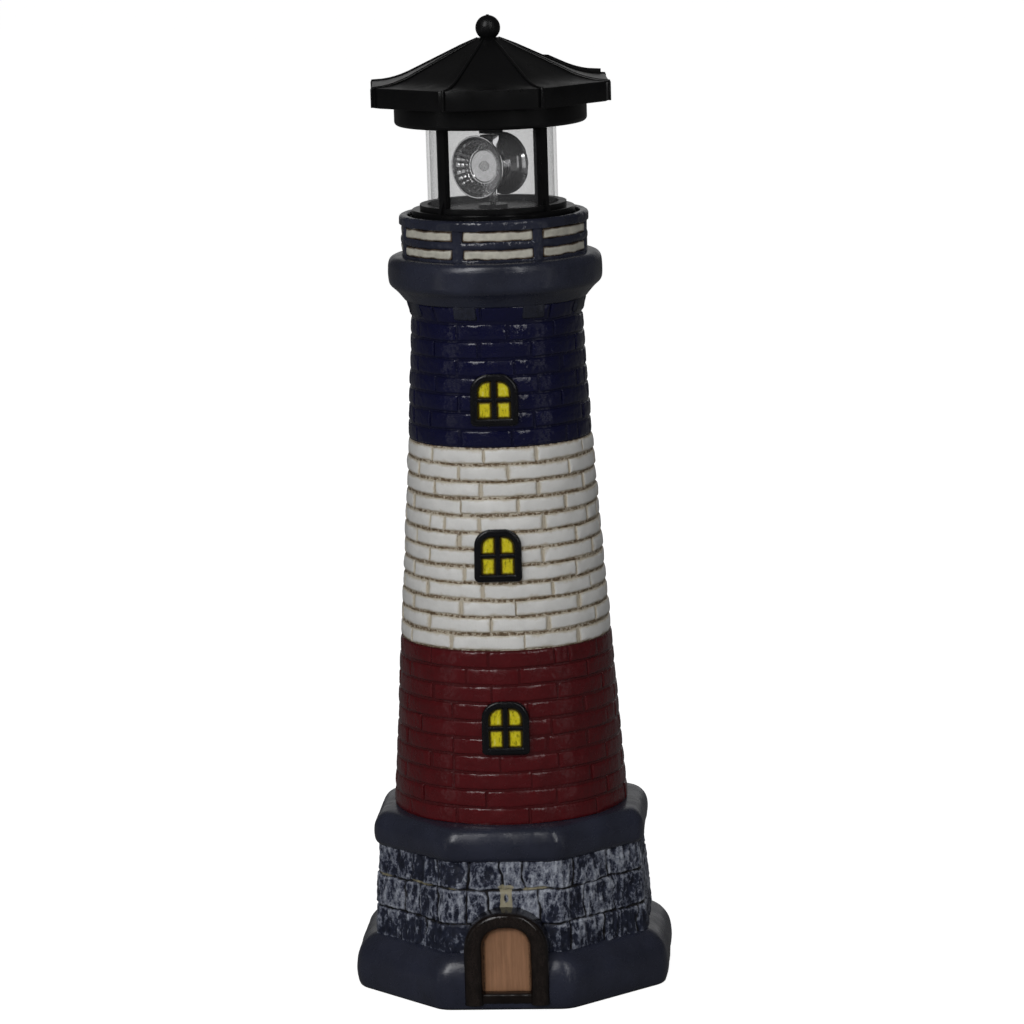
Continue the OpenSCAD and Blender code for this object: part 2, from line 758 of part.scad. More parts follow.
module lamp_cage() {
    collar_r = glass_r + 4.6;
    collar_t = 2.6;
    gusset = 3.4;
    color("#101012") in_head() difference() {
        union() {
            translate([0, 0, lantern_z]) ring(collar_r, glass_r + 0.3, collar_t);
            for (a = post_azimuths) at_azimuth(a) {
                translate([post_r[0], -post_w / 2, lantern_z])
                    cube([post_r[1] - post_r[0], post_w, lantern_h]);
                post_tongue(0);
                translate([post_r[1] - 0.5, 1, lantern_z]) rotate([90, 0, 0])
                    linear_extrude(height = 2) polygon([[0, 0], [gusset, 0], [0, 2.4 * gusset]]);
            }
        }
        for (a = screwed_azimuths)
            at_azimuth(a) translate([post_screw_r, 0, lantern_z - 1]) cylinder(r = 0.8, h = 8);
        at_azimuth(panel_azimuth) translate([lead_at, 0, lantern_z - 1]) cylinder(r = lead_bore_r, h = 60);
    }
}

module lamp_tray() {
    bush_r = 4;
    edge = 1;
    centre_boss_r = 8;
    color("#101012") in_head() difference() {
        union() {
            rotate_extrude() {
                translate([0, tray_z]) square([tray_r, tray_t - edge]);
                translate([0, tray_z]) square([tray_r - edge, tray_t]);
                translate([tray_r - edge, tray_z + tray_t - edge]) circle(r = edge);
            }
            translate([0, 0, lantern_z - 1]) cylinder(r = centre_boss_r, h = centre_boss_h + 1);
            translate([0, 0, gear_z + gear_t + 0.6]) cylinder(r = bush_r, h = tray_z - gear_z - gear_t);
            translate([0, 0, tray_z - 2]) ring(cup_r - cup_wall - slip, cup_r - cup_wall - 1.4, 3);
            for (p = wells)
                translate([p[0], p[1], well_top_z + 2]) cylinder(r = tray_boss_r, h = tray_z - well_top_z - 1);
        }
        translate([0, 0, glass_foot_z]) ring(glass_r + slip, glass_r - glass_wall - slip, 4);
        translate([0, 0, gear_z]) cylinder(r = bearing_r, h = 30);
        for (p = wells)
            translate([p[0], p[1], well_top_z]) cylinder(r = 1.1, h = 10);
        for (p = deck_pillars)
            translate([p[0], p[1], tray_z - 1]) cylinder(r = 0.9, h = 4);
        translate([idler_at[0], idler_at[1], tray_z - 1]) cylinder(r = 1, h = 4);
        for (a = screwed_azimuths)
            at_azimuth(a) translate([post_screw_r, 0, tray_z - 1]) cylinder(r = 0.8, h = 8);
        at_azimuth(panel_azimuth) translate([lead_at, 0, tray_z - 3]) cylinder(r = lead_bore_r, h = 10);
    }
}

// ---- Lamp cup and drive ----

module lamp_cup() {
    slot_w = 3.2;
    lug_x = [-22, 18];
    color("#18181a") in_head() difference() {
        union() {
            difference() {
                translate([0, 0, cup_z]) cylinder(r = cup_r, h = cup_depth);
                translate([0, 0, cup_inner_z]) cylinder(r = cup_r - cup_wall, h = cup_depth);
            }
            for (p = wells)
                translate([p[0], p[1], cup_z]) cylinder(r = well_r, h = well_top_z + 2 - cup_z);
            translate([-24, door_y[1] + door_gap + 0.2, cup_z]) cube([48, 1.2, 12]);
            for (x = [-29.8, 28.6])
                translate([x, -21.5, cup_z]) cube([1.2, 9, 13]);
            for (x = lug_x)
                translate([x, 0, 0]) hinge_eye(4);
            for (p = board_posts)
                translate([p[0], p[1], cup_z + 1]) cylinder(r = 1.8, h = board_z - cup_z - 1);
        }
        for (p = wells) translate([p[0], p[1], 0]) {
            translate([0, 0, cup_z - 1]) cylinder(r = 2.8, h = well_top_z - cup_z + 1);
            translate([0, 0, cup_z]) cylinder(r = 1.4, h = 30);
        }
        translate([-door_x - door_gap, door_y[0] - door_gap, cup_z - 0.1])
            cube([2 * (door_x + door_gap), door_y[1] - door_y[0] + 2 * door_gap, cup_floor + 0.6]);
        translate([switch_at[0] - 3.2 - switch_travel / 2, switch_at[1] - slot_w / 2, cup_z - 1])
            cube([6.4 + switch_travel, slot_w, 5]);
        translate([-40, hinge_at[0], hinge_at[1]]) rotate([0, 90, 0]) cylinder(r = hinge_pin_r, h = 80);
    }
}

// Hinge eye of a width, with a web that reaches up into the cup's floor
module hinge_eye(w) {
    translate([0, hinge_at[0], hinge_at[1]]) {
        rotate([0, 90, 0]) cylinder(r = knuckle_r, h = w);
        translate([0, -0.8, 0]) cube([w, knuckle_r + 0.8, cup_z - hinge_at[1] + 0.5]);
    }
}

module battery_door() {
    color("#18181a") in_head() difference() {
        union() {
            translate([-door_x, door_y[0], cup_z + 0.1])
                cube([2 * door_x, door_y[1] - door_y[0], door_t]);
            for (x = [-17.6, 13.6]) {
                translate([x, hinge_at[0], hinge_at[1]]) rotate([0, 90, 0]) cylinder(r = knuckle_r, h = 4);
                translate([x, door_y[1] - 1.5, hinge_at[1] - 0.5]) cube([4, 1.5, cup_z + 1 - hinge_at[1]]);
                translate([x, door_y[1] - 1.5, hinge_at[1] - 0.5]) cube([4, 2, 1]);
            }
        }
        translate([-40, hinge_at[0], hinge_at[1]]) rotate([0, 90, 0]) cylinder(r = hinge_pin_r + 0.05, h = 80);
    }
}

module door_hinge_pin() {
    color("silver") in_head() translate([-22, hinge_at[0], hinge_at[1]]) rotate([0, 90, 0])
        cylinder(r = hinge_pin_r, h = 44);
}

module gear_deck() {
    color("gainsboro") in_head() difference() {
        union() {
            translate([0, 0, deck_plate_z]) cylinder(r = deck_r, h = deck_t);
            for (p = deck_pillars)
                translate([p[0], p[1], deck_plate_z]) cylinder(r = 2.4, h = tray_z - deck_plate_z);
        }
        for (p = wells)
            translate([p[0], p[1], deck_plate_z - 1]) cylinder(r = well_r + 0.5, h = 5);
        for (p = deck_pillars)
            translate([p[0], p[1], deck_plate_z - 1]) cylinder(r = 0.9, h = 30);
        translate([0, 0, deck_plate_z - 1]) cylinder(r = bearing_r, h = 5);
        translate([idler_at[0], idler_at[1], deck_plate_z - 1]) cylinder(r = 1, h = 5);
        translate([pinion_at[0], pinion_at[1], deck_plate_z - 1]) cylinder(r = 3.2, h = 5);
        at_azimuth(panel_azimuth) translate([deck_r + 0.6, 0, deck_plate_z - 1]) cylinder(r = 2, h = 5);
    }
}

module drive_motor() {
    color("silver") in_head() translate([pinion_at[0], pinion_at[1], deck_plate_z - motor_h]) difference() {
        union() {
            cylinder(r = motor_r, h = motor_h);
            cylinder(r = 3, h = motor_h + 1.5);
            translate([0, 0, -1.4]) cylinder(r = 3.4, h = 2);
        }
        translate([0, 0, motor_h - 8]) cylinder(r = 1.05, h = 12);
    }
}

// Spur gear with straight-sided teeth, a tooth's middle on +X turned by phase
module spur_gear(teeth, h, bore_r, phase) {
    pitch_r = gear_module * teeth / 2;
    tip_r = pitch_r + gear_module * 0.9;
    root_r = pitch_r - gear_module * 1.2;
    step = 360 / teeth;
    difference() {
        linear_extrude(height = h) polygon([for (i = [0 : teeth - 1])
            for (corner = [[root_r, -0.34], [tip_r, -0.12], [tip_r, 0.12], [root_r, 0.34]])
                corner[0] * [cos(step * (i + corner[1]) + phase), sin(step * (i + corner[1]) + phase)]]);
        translate([0, 0, -1]) cylinder(r = bore_r, h = h + 2);
    }
}

// A tooth of one gear points at the next gear, and a gap of that one faces it
idler_phase = idler_angle + 180 + 180 / idler_teeth;
idler_step = 360 / idler_teeth;
idler_offset = (pinion_angle - idler_phase) / idler_step;
pinion_phase = pinion_angle + 180 + (0.5 + (idler_offset - round(idler_offset))) * 360 / pinion_teeth;

module drive_gear() {
    color("ivory") in_head() translate([0, 0, gear_z])
        spur_gear(drive_teeth, gear_t, pivot_r, idler_angle);
}

module idler_gear() {
    color("ivory") in_head() translate([idler_at[0], idler_at[1], gear_z])
        spur_gear(idler_teeth, gear_t, 1.05, idler_phase);
}

module motor_pinion() {
    color("goldenrod") in_head() translate([pinion_at[0], pinion_at[1], 0]) {
        translate([0, 0, gear_z - 0.4]) spur_gear(pinion_teeth, gear_t + 1, 0.8, pinion_phase);
        translate([0, 0, deck_plate_z - 7]) cylinder(r = 1, h = gear_z - deck_plate_z + 7);
        translate([0, 0, gear_z - 0.4]) cylinder(r = 0.9, h = gear_t + 1);
    }
}

module idler_pin() {
    color("silver") in_head() translate([idler_at[0], idler_at[1], deck_plate_z])
        cylinder(r = 1, h = tray_z + 2.5 - deck_plate_z);
}

slip_z = deck_plate_z - 9;

module slip_rings() {
    color("goldenrod") in_head() translate([0, 0, slip_z]) {
        ring(2.6, pivot_r, 8);
        for (level = [1, 4.6])
            translate([0, 0, level]) ring(3.2, 2.6, 2);
    }
}

// Two leaf springs under the deck that press on the slip rings
module brush_contacts() {
    color("goldenrod") in_head()
        for (level = [0, 1]) {
            strip_z = slip_z + 1.5 + level * 3.6;
            translate([-14 + level * 3, 3.25, strip_z]) {
                cube([16 - level * 3, 0.4, 1]);
                cube([1, 3, 1]);
                translate([0, 2.4, 0]) cube([1, 0.6, deck_plate_z - strip_z]);
            }
        }
}

module circuit_board() {
    color("darkgreen") in_head() {
        translate([board_from[0], board_from[1], board_z]) cube([board_size[0], board_size[1], 1.6]);
        translate([-24, 6, board_z + 1.6]) cube([8, 6, 1.7]);
        translate([-8, 10, board_z + 1.6]) cylinder(r = 2.5, h = 6);
    }
}

module switch_body() {
    travel_half = switch_travel / 2;
    color("dimgray") in_head() difference() {
        translate([switch_at[0] - 6.2, switch_at[1] - 3, cup_inner_z]) cube([12.4, 6, board_z - cup_inner_z]);
        translate([switch_at[0] - 1.4 - travel_half - 0.15, switch_at[1] - 1.4, cup_inner_z - 1])
            cube([2.8 + switch_travel + 0.3, 2.8, 4]);
    }
}

module switch_knob() {
    knob_h = 5.6;
    color("black") in_head()
        translate([switch_at[0] - 1.4 + switch_travel / 2, switch_at[1] - 1.25, cup_inner_z + 2.6 - knob_h])
            cube([2.8, 2.5, knob_h]);
}

module battery_cell() {
    color("seagreen") in_head() translate([-cell_l / 2, cell_at[0], cell_at[1]]) rotate([0, 90, 0]) {
        cylinder(r = cell_r, h = cell_l);
        cylinder(r = 2.7, h = cell_l + cell_nub_h);
    }
}

module battery_contacts() {
    plate_t = 0.5;
    color("silver") in_head()
        for (side = [0, 1])
            translate([side == 0 ? -28.6 : 28.1, cell_at[0] - 5, cell_at[1] - 6]) {
                cube([plate_t, 10, 12]);
                translate([side == 0 ? plate_t : -2.2, 5, 6]) rotate([0, 90, 0])
                    cylinder(r = side == 0 ? 3.6 : 2, h = side == 0 ? 3.5 : 2.2);
            }
}

// Insulated lead from the solar panel through the rear right post to the board
module panel_lead() {
    post_xy = lead_at * [sin(panel_azimuth), -cos(panel_azimuth)];
    panel_xy = 44 * [sin(panel_azimuth), -cos(panel_azimuth)];
    board_top = board_z + 1.6 + lead_r + 0.12;
    route = [[panel_xy[0], panel_xy[1], facet_z(44) - 3.6],
             [panel_xy[0], panel_xy[1], soffit_z - 2],
             [post_xy[0], post_xy[1], drum_z + 8],
             [post_xy[0], post_xy[1], board_z + 6],
             [15, 28.6, board_z + 4],
             [-2, 24.5, board_top]];
    color("crimson") in_head()
        for (i = [0 : len(route) - 2]) {
            leg = route[i + 1] - route[i];
            translate(route[i]) {
                sphere(r = lead_r + 0.1);
                rotate([0, acos(leg[2] / norm(leg)), atan2(leg[1], leg[0])])
                    cylinder(r = lead_r, h = norm(leg));
            }
        }
}

// ---- Fasteners ----

// Pan-head screw, its head's seat on z = 0 and its shank upwards
module screw(head_r, head_h, shank_r, length) {
    difference() {
        translate([0, 0, -head_h]) cylinder(r = head_r, h = head_h);
        translate([-head_r, -0.3, -head_h - 1]) cube([2 * head_r, 0.6, 1.6]);
    }
    cylinder(r = shank_r, h = length);
}

module roof_screws() {
    color("silver") in_head()
        for (i = [0 : 3])
            rotate([0, 0, (i * 2 + 0.5) * 45]) translate([roof_screw_r, 0, soffit_z])
                screw(2.4, 1.5, 1.1, 6);
}

module cage_screws() {
    color("silver") in_head()
        for (a = screwed_azimuths)
            at_azimuth(a) translate([post_screw_r, 0, tray_z])
                cylinder(r = 0.8, h = 10);
}

module cup_screws() {
    color("silver") in_head()
        for (p = wells)
            translate([p[0], p[1], well_top_z]) screw(2.4, 1.8, 1.1, 9.5);
}

module deck_screws() {
    color("silver") in_head()
        for (p = deck_pillars)
            translate([p[0], p[1], deck_plate_z]) screw(2, 1.3, 0.9, tray_z + 2.5 - deck_plate_z);
}

// ---- Beacon ----

// Points the beacon's own X axis along the front reflector's direction
module in_beacon() {
    at_azimuth(beacon_azimuth) children();
}

// The same, with the reflectors' shift off the spin axis
module on_light_axis() {
    in_beacon() translate([beacon_shift, 0, 0]) children();
}

module beacon_shaft() {
    color("silver") translate([0, 0, slip_z]) cylinder(r = pivot_r, h = lantern_z + 14 - slip_z);
}

module beacon_hub() {
    stem_r = 2.7;
    barrel_l = 9.4;
    saddle_z = beacon_z + throat_r - 0.6;
    saddle_h = drum_z - boss_h - 0.8 - saddle_z;
    stem_foot = lantern_z + centre_boss_h + 0.8;
    color("lightsteelblue") in_beacon() difference() {
        union() {
            translate([beacon_shift - barrel_l / 2, 0, beacon_z]) rotate([0, 90, 0]) cylinder(r = throat_r, h = barrel_l);
            translate([0, 0, stem_foot]) cylinder(r = stem_r, h = beacon_z - 2.4 - stem_foot);
            translate([beacon_shift - 3.6, -4.5, saddle_z]) cube([7.2, 9, saddle_h]);
            translate([0, 0, saddle_z]) cylinder(r = pivot_r, h = saddle_h + boss_h - 1);
        }
        translate([0, 0, lantern_z]) cylinder(r = pivot_r, h = 14);
    }
}

// Bowl profile: distance along the beacon axis for a radius, from throat to rim
bowl_from = 4.7;
function bowl_x(r) = bowl_from + (beacon_span / 2 - bowl_from) * pow((r - throat_r) / (reflector_r - throat_r), 1.7);

module reflector() {
    steps = [for (i = [0 : 8]) throat_r + (reflector_r - 0.6 - throat_r) * i / 8];
    hole_r = 2.5;
    bead_r = 0.6;
    translate([0, 0, beacon_z]) rotate([0, 90, 0]) rotate_extrude() {
        polygon(concat(
            [[hole_r, bowl_from]],
            [for (r = steps) [r, bowl_x(r)]],
            [for (i = [8 : -1 : 0]) [steps[i] - reflector_wall * 0.7, bowl_x(steps[i]) + reflector_wall * 0.9]],
            [[hole_r, bowl_from + reflector_wall * 0.9]]));
        translate([reflector_r - bead_r, beacon_span / 2 - bead_r]) circle(r = bead_r, $fn = 32);
    }
}

module front_reflector() {
    color("lightsteelblue") on_light_axis() reflector();
}

module rear_reflector() {
    color("lightsteelblue") on_light_axis() rotate([0, 0, 180]) reflector();
}

module led() {
    led_r = 2.5;
    led_l = 2.5;
    translate([bowl_from, 0, beacon_z]) rotate([0, 90, 0]) {
        cylinder(r = led_r, h = led_l);
        translate([0, 0, led_l]) sphere(r = led_r);
    }
}

module front_led() {
    color("lightyellow") on_light_axis() led();
}

module rear_led() {
    color("lightyellow") on_light_axis() rotate([0, 0, 180]) led();
}

base_foot();
stone_plinth();
base_collar();
red_tower();
white_tower();
navy_tower();
gallery();
railing();
rail_panels();
lower_window_frame();
middle_window_frame();
upper_window_frame();
lower_window_panes();
middle_window_panes();
upper_window_panes();
door_surround();
door_panel();
seat_ring();
roof();
finial();
panel_frame();
solar_panel();
lamp_housing();
glass_tube();
lamp_cage();
lamp_tray();
lamp_cup();
gear_deck();
drive_motor();
circuit_board();
switch_body();
battery_cell();
battery_contacts();
panel_lead();
door_hinge_pin();
idler_pin();
brush_contacts();
roof_screws();
cage_screws();
cup_screws();
deck_screws();
beacon_shaft();
drive_gear();
slip_rings();
beacon_hub();
front_reflector();
rear_reflector();
front_led();
rear_led();
idler_gear();
motor_pinion();
switch_knob();
battery_door();
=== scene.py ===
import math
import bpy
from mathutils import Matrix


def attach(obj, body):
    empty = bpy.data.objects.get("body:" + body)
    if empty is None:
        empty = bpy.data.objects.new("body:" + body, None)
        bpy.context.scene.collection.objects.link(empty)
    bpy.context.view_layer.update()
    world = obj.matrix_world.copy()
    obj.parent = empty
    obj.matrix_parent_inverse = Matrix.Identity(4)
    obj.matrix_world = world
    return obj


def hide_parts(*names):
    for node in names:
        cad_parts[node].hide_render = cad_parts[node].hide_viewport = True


bl_info = {
    "name": "Garden lighthouse dressing",
    "version": (1, 0, 0),
    "blender": (4, 5, 0),
    "location": "3D View > Sidebar > Lighthouse",
    "description": "Painted stonework, bricks, windows, lamp head and studio for the packed lighthouse",
    "category": "Object",
}

import bmesh
import bpy
import numpy as np
from mathutils import Matrix, Vector

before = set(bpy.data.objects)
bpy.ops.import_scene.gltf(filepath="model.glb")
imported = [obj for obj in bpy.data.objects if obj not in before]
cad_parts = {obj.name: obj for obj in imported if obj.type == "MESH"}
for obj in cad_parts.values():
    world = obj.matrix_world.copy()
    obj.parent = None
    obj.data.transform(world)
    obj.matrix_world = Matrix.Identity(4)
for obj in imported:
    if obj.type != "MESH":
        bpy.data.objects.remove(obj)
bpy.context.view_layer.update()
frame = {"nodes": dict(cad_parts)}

MM = 0.001
HALF_SIDE = math.radians(22.5)

# Levels and radii of the castings, in millimetres, as in the part's source
FOOT_TOP = 30.0
PLINTH_TOP = 81.0
RED_FOOT = 99.5
WHITE_FOOT = 196.3
NAVY_FOOT = 308.2
WAIST = 376.7
GALLERY_FOOT = 385.5
DECK = 410.0
RIM = 432.6
LEDGE = 429.6
LANTERN = 435.2
DRUM = 481.7
FASCIA = 493.7
EAVE = 504.7
BORE = 60.4
NECK = 41.6
BEACON_Z = LANTERN + 23.1
HEAD_TURN = math.radians(5.5)
BEACON_AZIMUTH = math.radians(-32.0)
BEACON_SHIFT = 1.8
DOOR_SHIFT = 0.9
DOOR_ARCH = 33.7
# What lies behind the door is set back to this depth, within this distance of the door's middle
NICHE_DEPTH = 71.5
NICHE_HALF = 17.5
BAYS = 7
BAY_TURN = math.radians(6.5)
CORBEL_TURN = math.radians(6.0)
TOWER = ((RED_FOOT, 66.0), (WHITE_FOOT, 59.4), (NAVY_FOOT, 51.5), (WAIST, 47.9), (GALLERY_FOOT, 50.5))
RAIL_RADIUS = 51.0
# The bricks behind a window: half the width that is set back, what is left below and above, and how far back
BED_HALF = 9.6
BED_TRIM = 3.5
WINDOW_SINK = 3.4
# Node prefix, azimuth in degrees, height of the centre, height of the frame
WINDOWS = (("lower", 2.4, 153.8, 29.8), ("middle", 0.8, 249.1, 29.0), ("upper", 1.0, 334.6, 28.4))


# ---------------------------------------------------------------- mesh helpers

def lump(points, size, seed):
    """Smooth noise between -1 and 1 whose lumps have about this size, one size or one for each axis."""
    p = np.asarray(points, float) / size
    cell = np.floor(p).astype(np.int64)
    f = p - cell
    f = f * f * (3 - 2 * f)

    def corner(dx, dy, dz):
        n = (cell[..., 0] + dx) * 73856093 ^ (cell[..., 1] + dy) * 19349663
        n = (n ^ (cell[..., 2] + dz) * 83492791 ^ seed * 2654435761) & 0x7FFFFFFF
        n = (n ^ (n >> 13)) * 1274126177 & 0x7FFFFFFF
        return ((n ^ (n >> 16)) & 0xFFFF) / 32767.5 - 1

    total = 0.0
    for dx in (0, 1):
        for dy in (0, 1):
            for dz in (0, 1):
                weight = (np.abs(1 - dx - f[..., 0]) * np.abs(1 - dy - f[..., 1])
                          * np.abs(1 - dz - f[..., 2]))
                total = total + weight * corner(dx, dy, dz)
    return total


def ease(low, high, value):
    t = np.clip((value - low) / (high - low), 0, 1)
    return t * t * (3 - 2 * t)


def curve_through(points, step):
    """Points about a step apart on a smooth curve through the given ones."""
    p = np.array(points, float)
    ends = np.vstack([2 * p[0] - p[1], p, 2 * p[-1] - p[-2]])
    out = []
    for a, b, c, d in zip(ends[:-3], ends[1:-2], ends[2:-1], ends[3:]):
        n = max(1, int(round(np.linalg.norm(c - b) / step)))
        for t in np.arange(n)[:, None] / n:
            out.append((0.5 * (2 * b + (c - a) * t + (2 * a - 5 * b + 4 * c - d) * t ** 2
                               + (3 * b - a - 3 * c + d) * t ** 3)))
    return np.vstack([np.vstack(out), p[-1:]])


def turned_about_axis(points, angle):
    c, s = math.cos(angle), math.sin(angle)
    return np.asarray(points, float) @ np.array([[c, s, 0], [-s, c, 0], [0, 0, 1]])


def linked(name, data):
    """A new object in the scene that holds this mesh, lamp or camera."""
    obj = bpy.data.objects.new(name, data)
    bpy.context.scene.collection.objects.link(obj)
    return obj


def mesh_object(name, points, faces, material, values=None, weld=False):
    """Smooth mesh object with its faces outwards, from points in millimetres and values at these points."""
    mesh = bpy.data.meshes.new(name)
    mesh.from_pydata((points * MM).tolist(), [], faces)
    for label, field in (values or {}).items():
        layer = mesh.attributes.new(label, "FLOAT", "POINT")
        layer.data.foreach_set("value", np.asarray(field, np.float32).reshape(-1))
    bm = bmesh.new()
    bm.from_mesh(mesh)
    if weld:
        bmesh.ops.remove_doubles(bm, verts=bm.verts, dist=1e-7)
        bmesh.ops.dissolve_degenerate(bm, edges=bm.edges, dist=1e-8)
    bmesh.ops.recalc_face_normals(bm, faces=bm.faces)
    bm.to_mesh(mesh)
    bm.free()
    mesh.shade_smooth()
    mesh.materials.append(material)
    return linked(name, mesh)


def skin(name, loops, material, ring=False, caps=True, values=None, sharp=40, turn=0.0):
    """Mesh object over closed loops of equal length, in millimetres.

    With ring the last loop joins the first, otherwise caps close both ends."""
    points = np.asarray(loops, float)
    rows, columns = points.shape[:2]
    index = np.arange(rows * columns).reshape(rows, columns)
    faces = []
    for r in range(rows if ring else rows - 1):
        low, high = index[r], index[(r + 1) % rows]
        faces.append(np.stack([low, np.roll(low, -1), np.roll(high, -1), high], 1))
    faces = np.vstack(faces).tolist()
    if caps and not ring:
        faces += [index[0][::-1].tolist(), index[-1].tolist()]
    obj = mesh_object(name, turned_about_axis(points.reshape(-1, 3), turn), faces, material, values,
                      weld=True)
    obj.data.set_sharp_from_angle(angle=math.radians(sharp))
    return obj


def joined(name, parts):
    """One mesh object out of several, which keep their materials and values."""
    with bpy.context.temp_override(active_object=parts[0], object=parts[0],
                                   selected_objects=parts, selected_editable_objects=parts):
        bpy.ops.object.join()
    parts[0].name = parts[0].data.name = name
    return parts[0]


def place(piece, body, slot, *nodes):
    """Rides the piece on its body and lets it stand for the CAD nodes."""
    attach(piece, body)
    if nodes:
        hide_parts(*nodes)
    return piece


def azimuths(count):
    return np.arange(count) * 2 * math.pi / count


def around(azimuth, radius, height):
    """Points at azimuths from the door side towards +X."""
    return np.stack(np.broadcast_arrays(radius * np.sin(azimuth), -radius * np.cos(azimuth), height), -1)


def octagon(azimuth, corner, rounding):
    """Radius of an octagon with a flat towards the door and rounded corners."""
    off = np.abs((azimuth + HALF_SIDE) % (2 * HALF_SIDE) - HALF_SIDE)
    flat = corner * math.cos(HALF_SIDE) / np.cos(off)
    centre = corner - rounding / math.cos(HALF_SIDE)
    swing = HALF_SIDE - off
    reach = np.arctan2(rounding * math.sin(HALF_SIDE), centre + rounding * math.cos(HALF_SIDE))
    inside = np.maximum(rounding ** 2 - (centre * np.sin(swing)) ** 2, 0)
    arc = centre * np.cos(swing) + np.sqrt(inside)
    return np.where(swing < reach, arc, flat)


def rounded_outline(x0, x1, z0, z1, low_round, high_round, steps=10):
    """Closed outline in X and Z, anticlockwise from the lower left."""
    if np.isscalar(high_round):
        high_round = (high_round, high_round)
    corners = ((x0, z0, low_round, 180), (x1, z0, low_round, 270), (x1, z1, high_round[1], 0),
               (x0, z1, high_round[0], 90))
    out = []
    for x, z, r, start in corners:
        cx = x + (r if x == x0 else -r)
        cz = z + (r if z == z0 else -r)
        a = np.radians(start + np.linspace(0, 90, steps))
        out.append(np.stack([cx + r * np.cos(a), cz + r * np.sin(a)], 1))
    return np.vstack(out)


def turned_body(name, profile, material, columns, **options):
    """Closed body turned about the axis from a closed profile of radius and height."""
    profile = np.array(profile, float)
    points = around(azimuths(columns)[None, :], profile[:, :1], profile[:, 1:])
    return skin(name, points, material, **options)


# ---------------------------------------------------------------- node trees

class Tree:
    """A short way to add nodes to a shader or geometry tree."""

    def __init__(self, tree):
        self.tree = tree
        self.column = 0

    def node(self, kind, *values, **settings):
        """A node with its settings and its inputs, each a number, a colour, a socket or None."""
        made = self.tree.nodes.new(kind)
        self.column += 1
        made.location = (180 * (self.column % 12), -220 * (self.column // 12))
        named = {k: v for k, v in settings.items() if k.startswith("in_")}
        for key, value in settings.items():
            if key not in named:
                setattr(made, key, value)
        for key, value in named.items():
            self.feed(made.inputs[key[3:].replace("_", " ")], value)
        for socket, value in zip(made.inputs, values):
            if value is not None:
                self.feed(socket, value)
        return made

    def feed(self, socket, value):
        if isinstance(value, bpy.types.NodeSocket):
            self.tree.links.new(value, socket)
        else:
            socket.default_value = value

    def math(self, operation, *values):
        return self.node("ShaderNodeMath", *values, operation=operation).outputs[0]

    def plus(self, a, b):
        return self.math("ADD", a, b)

    def less(self, a, b):
        return self.math("SUBTRACT", a, b)

    def times(self, a, b):
        return self.math("MULTIPLY", a, b)

    def over(self, a, b):
        return self.math("DIVIDE", a, b)

    def share(self, a, b, rest):
        """a times b, added to the rest."""
        return self.math("MULTIPLY_ADD", a, b, rest)

    def ramp(self, factor, stops):
        made = self.node("ShaderNodeValToRGB", factor)
        elements = made.color_ramp.elements
        while len(elements) > len(stops):
            elements.remove(elements[-1])
        while len(elements) < len(stops):
            elements.new(1.0)
        for element, (at, shade) in zip(elements, stops):
            element.position = at
            element.color = (shade, shade, shade, 1) if np.isscalar(shade) else (*shade, 1)
        return made.outputs["Color"]

    def noise(self, size, stretch=(1, 1, 1), detail=3.0, rough=0.55, seed=0.0):
        """Noise on object coordinates whose lumps have about this size in millimetres."""
        place = self.node("ShaderNodeTexCoord").outputs["Object"]
        scale = tuple(1000 / (size * s) for s in stretch)
        spread = self.node("ShaderNodeMapping", place, in_Location=(seed * 7.3, seed * 3.1, seed * 5.7),
                           in_Scale=scale)
        made = self.node("ShaderNodeTexNoise", in_Vector=spread.outputs[0], in_Scale=1.0, in_Detail=detail,
                         in_Roughness=rough)
        return made.outputs["Fac"]

    def mix(self, factor, a, b):
        made = self.node("ShaderNodeMix", data_type="RGBA")
        self.feed(made.inputs[0], factor)
        self.feed(made.inputs[6], a if isinstance(a, bpy.types.NodeSocket) else (*a, 1))
        self.feed(made.inputs[7], b if isinstance(b, bpy.types.NodeSocket) else (*b, 1))
        return made.outputs[2]

    def value(self, label):
        return self.node("ShaderNodeAttribute", attribute_name=label).outputs["Fac"]

    def soiled_and_shaded(self, tone, colour, label, noise, bias, reach, most=1.0):
        """Mixes in a colour where a value of the piece is high, broken up by noise.

        Callers use it for washes, for a second paint and for painted shade.
        """
        spots = self.times(self.value(label), self.plus(noise, bias))
        return self.mix(self.ramp(spots, ((reach[0], 0.0), (reach[1], most))), tone, colour)

    def bump(self, height, distance):
        """Bump whose height of 1 stands this many millimetres proud."""
        return self.node("ShaderNodeBump", in_Strength=1.0, in_Distance=distance * MM,
                         in_Height=height).outputs[0]


def finish(name):
    """A new material, its tree and its main shader."""
    material = bpy.data.materials.new(name)
    material.use_nodes = True
    return material, Tree(material.node_tree), material.node_tree.nodes["Principled BSDF"]


def dress(t, shader, colour, rough, normal=None, gloss=None):
    """Feeds the shader's colour, roughness and normal, and sets its gloss."""
    t.feed(shader.inputs["Base Color"], colour)
    t.feed(shader.inputs["Roughness"], rough)
    if normal is not None:
        t.feed(shader.inputs["Normal"], normal)
    if gloss is not None:
        shader.inputs["Specular IOR Level"].default_value = gloss


def shades(colour, spread):
    """A darker and a lighter shade of a colour."""
    return tuple(max(c * (1 - spread), 0) for c in colour), tuple(min(c * (1 + spread), 1) for c in colour)


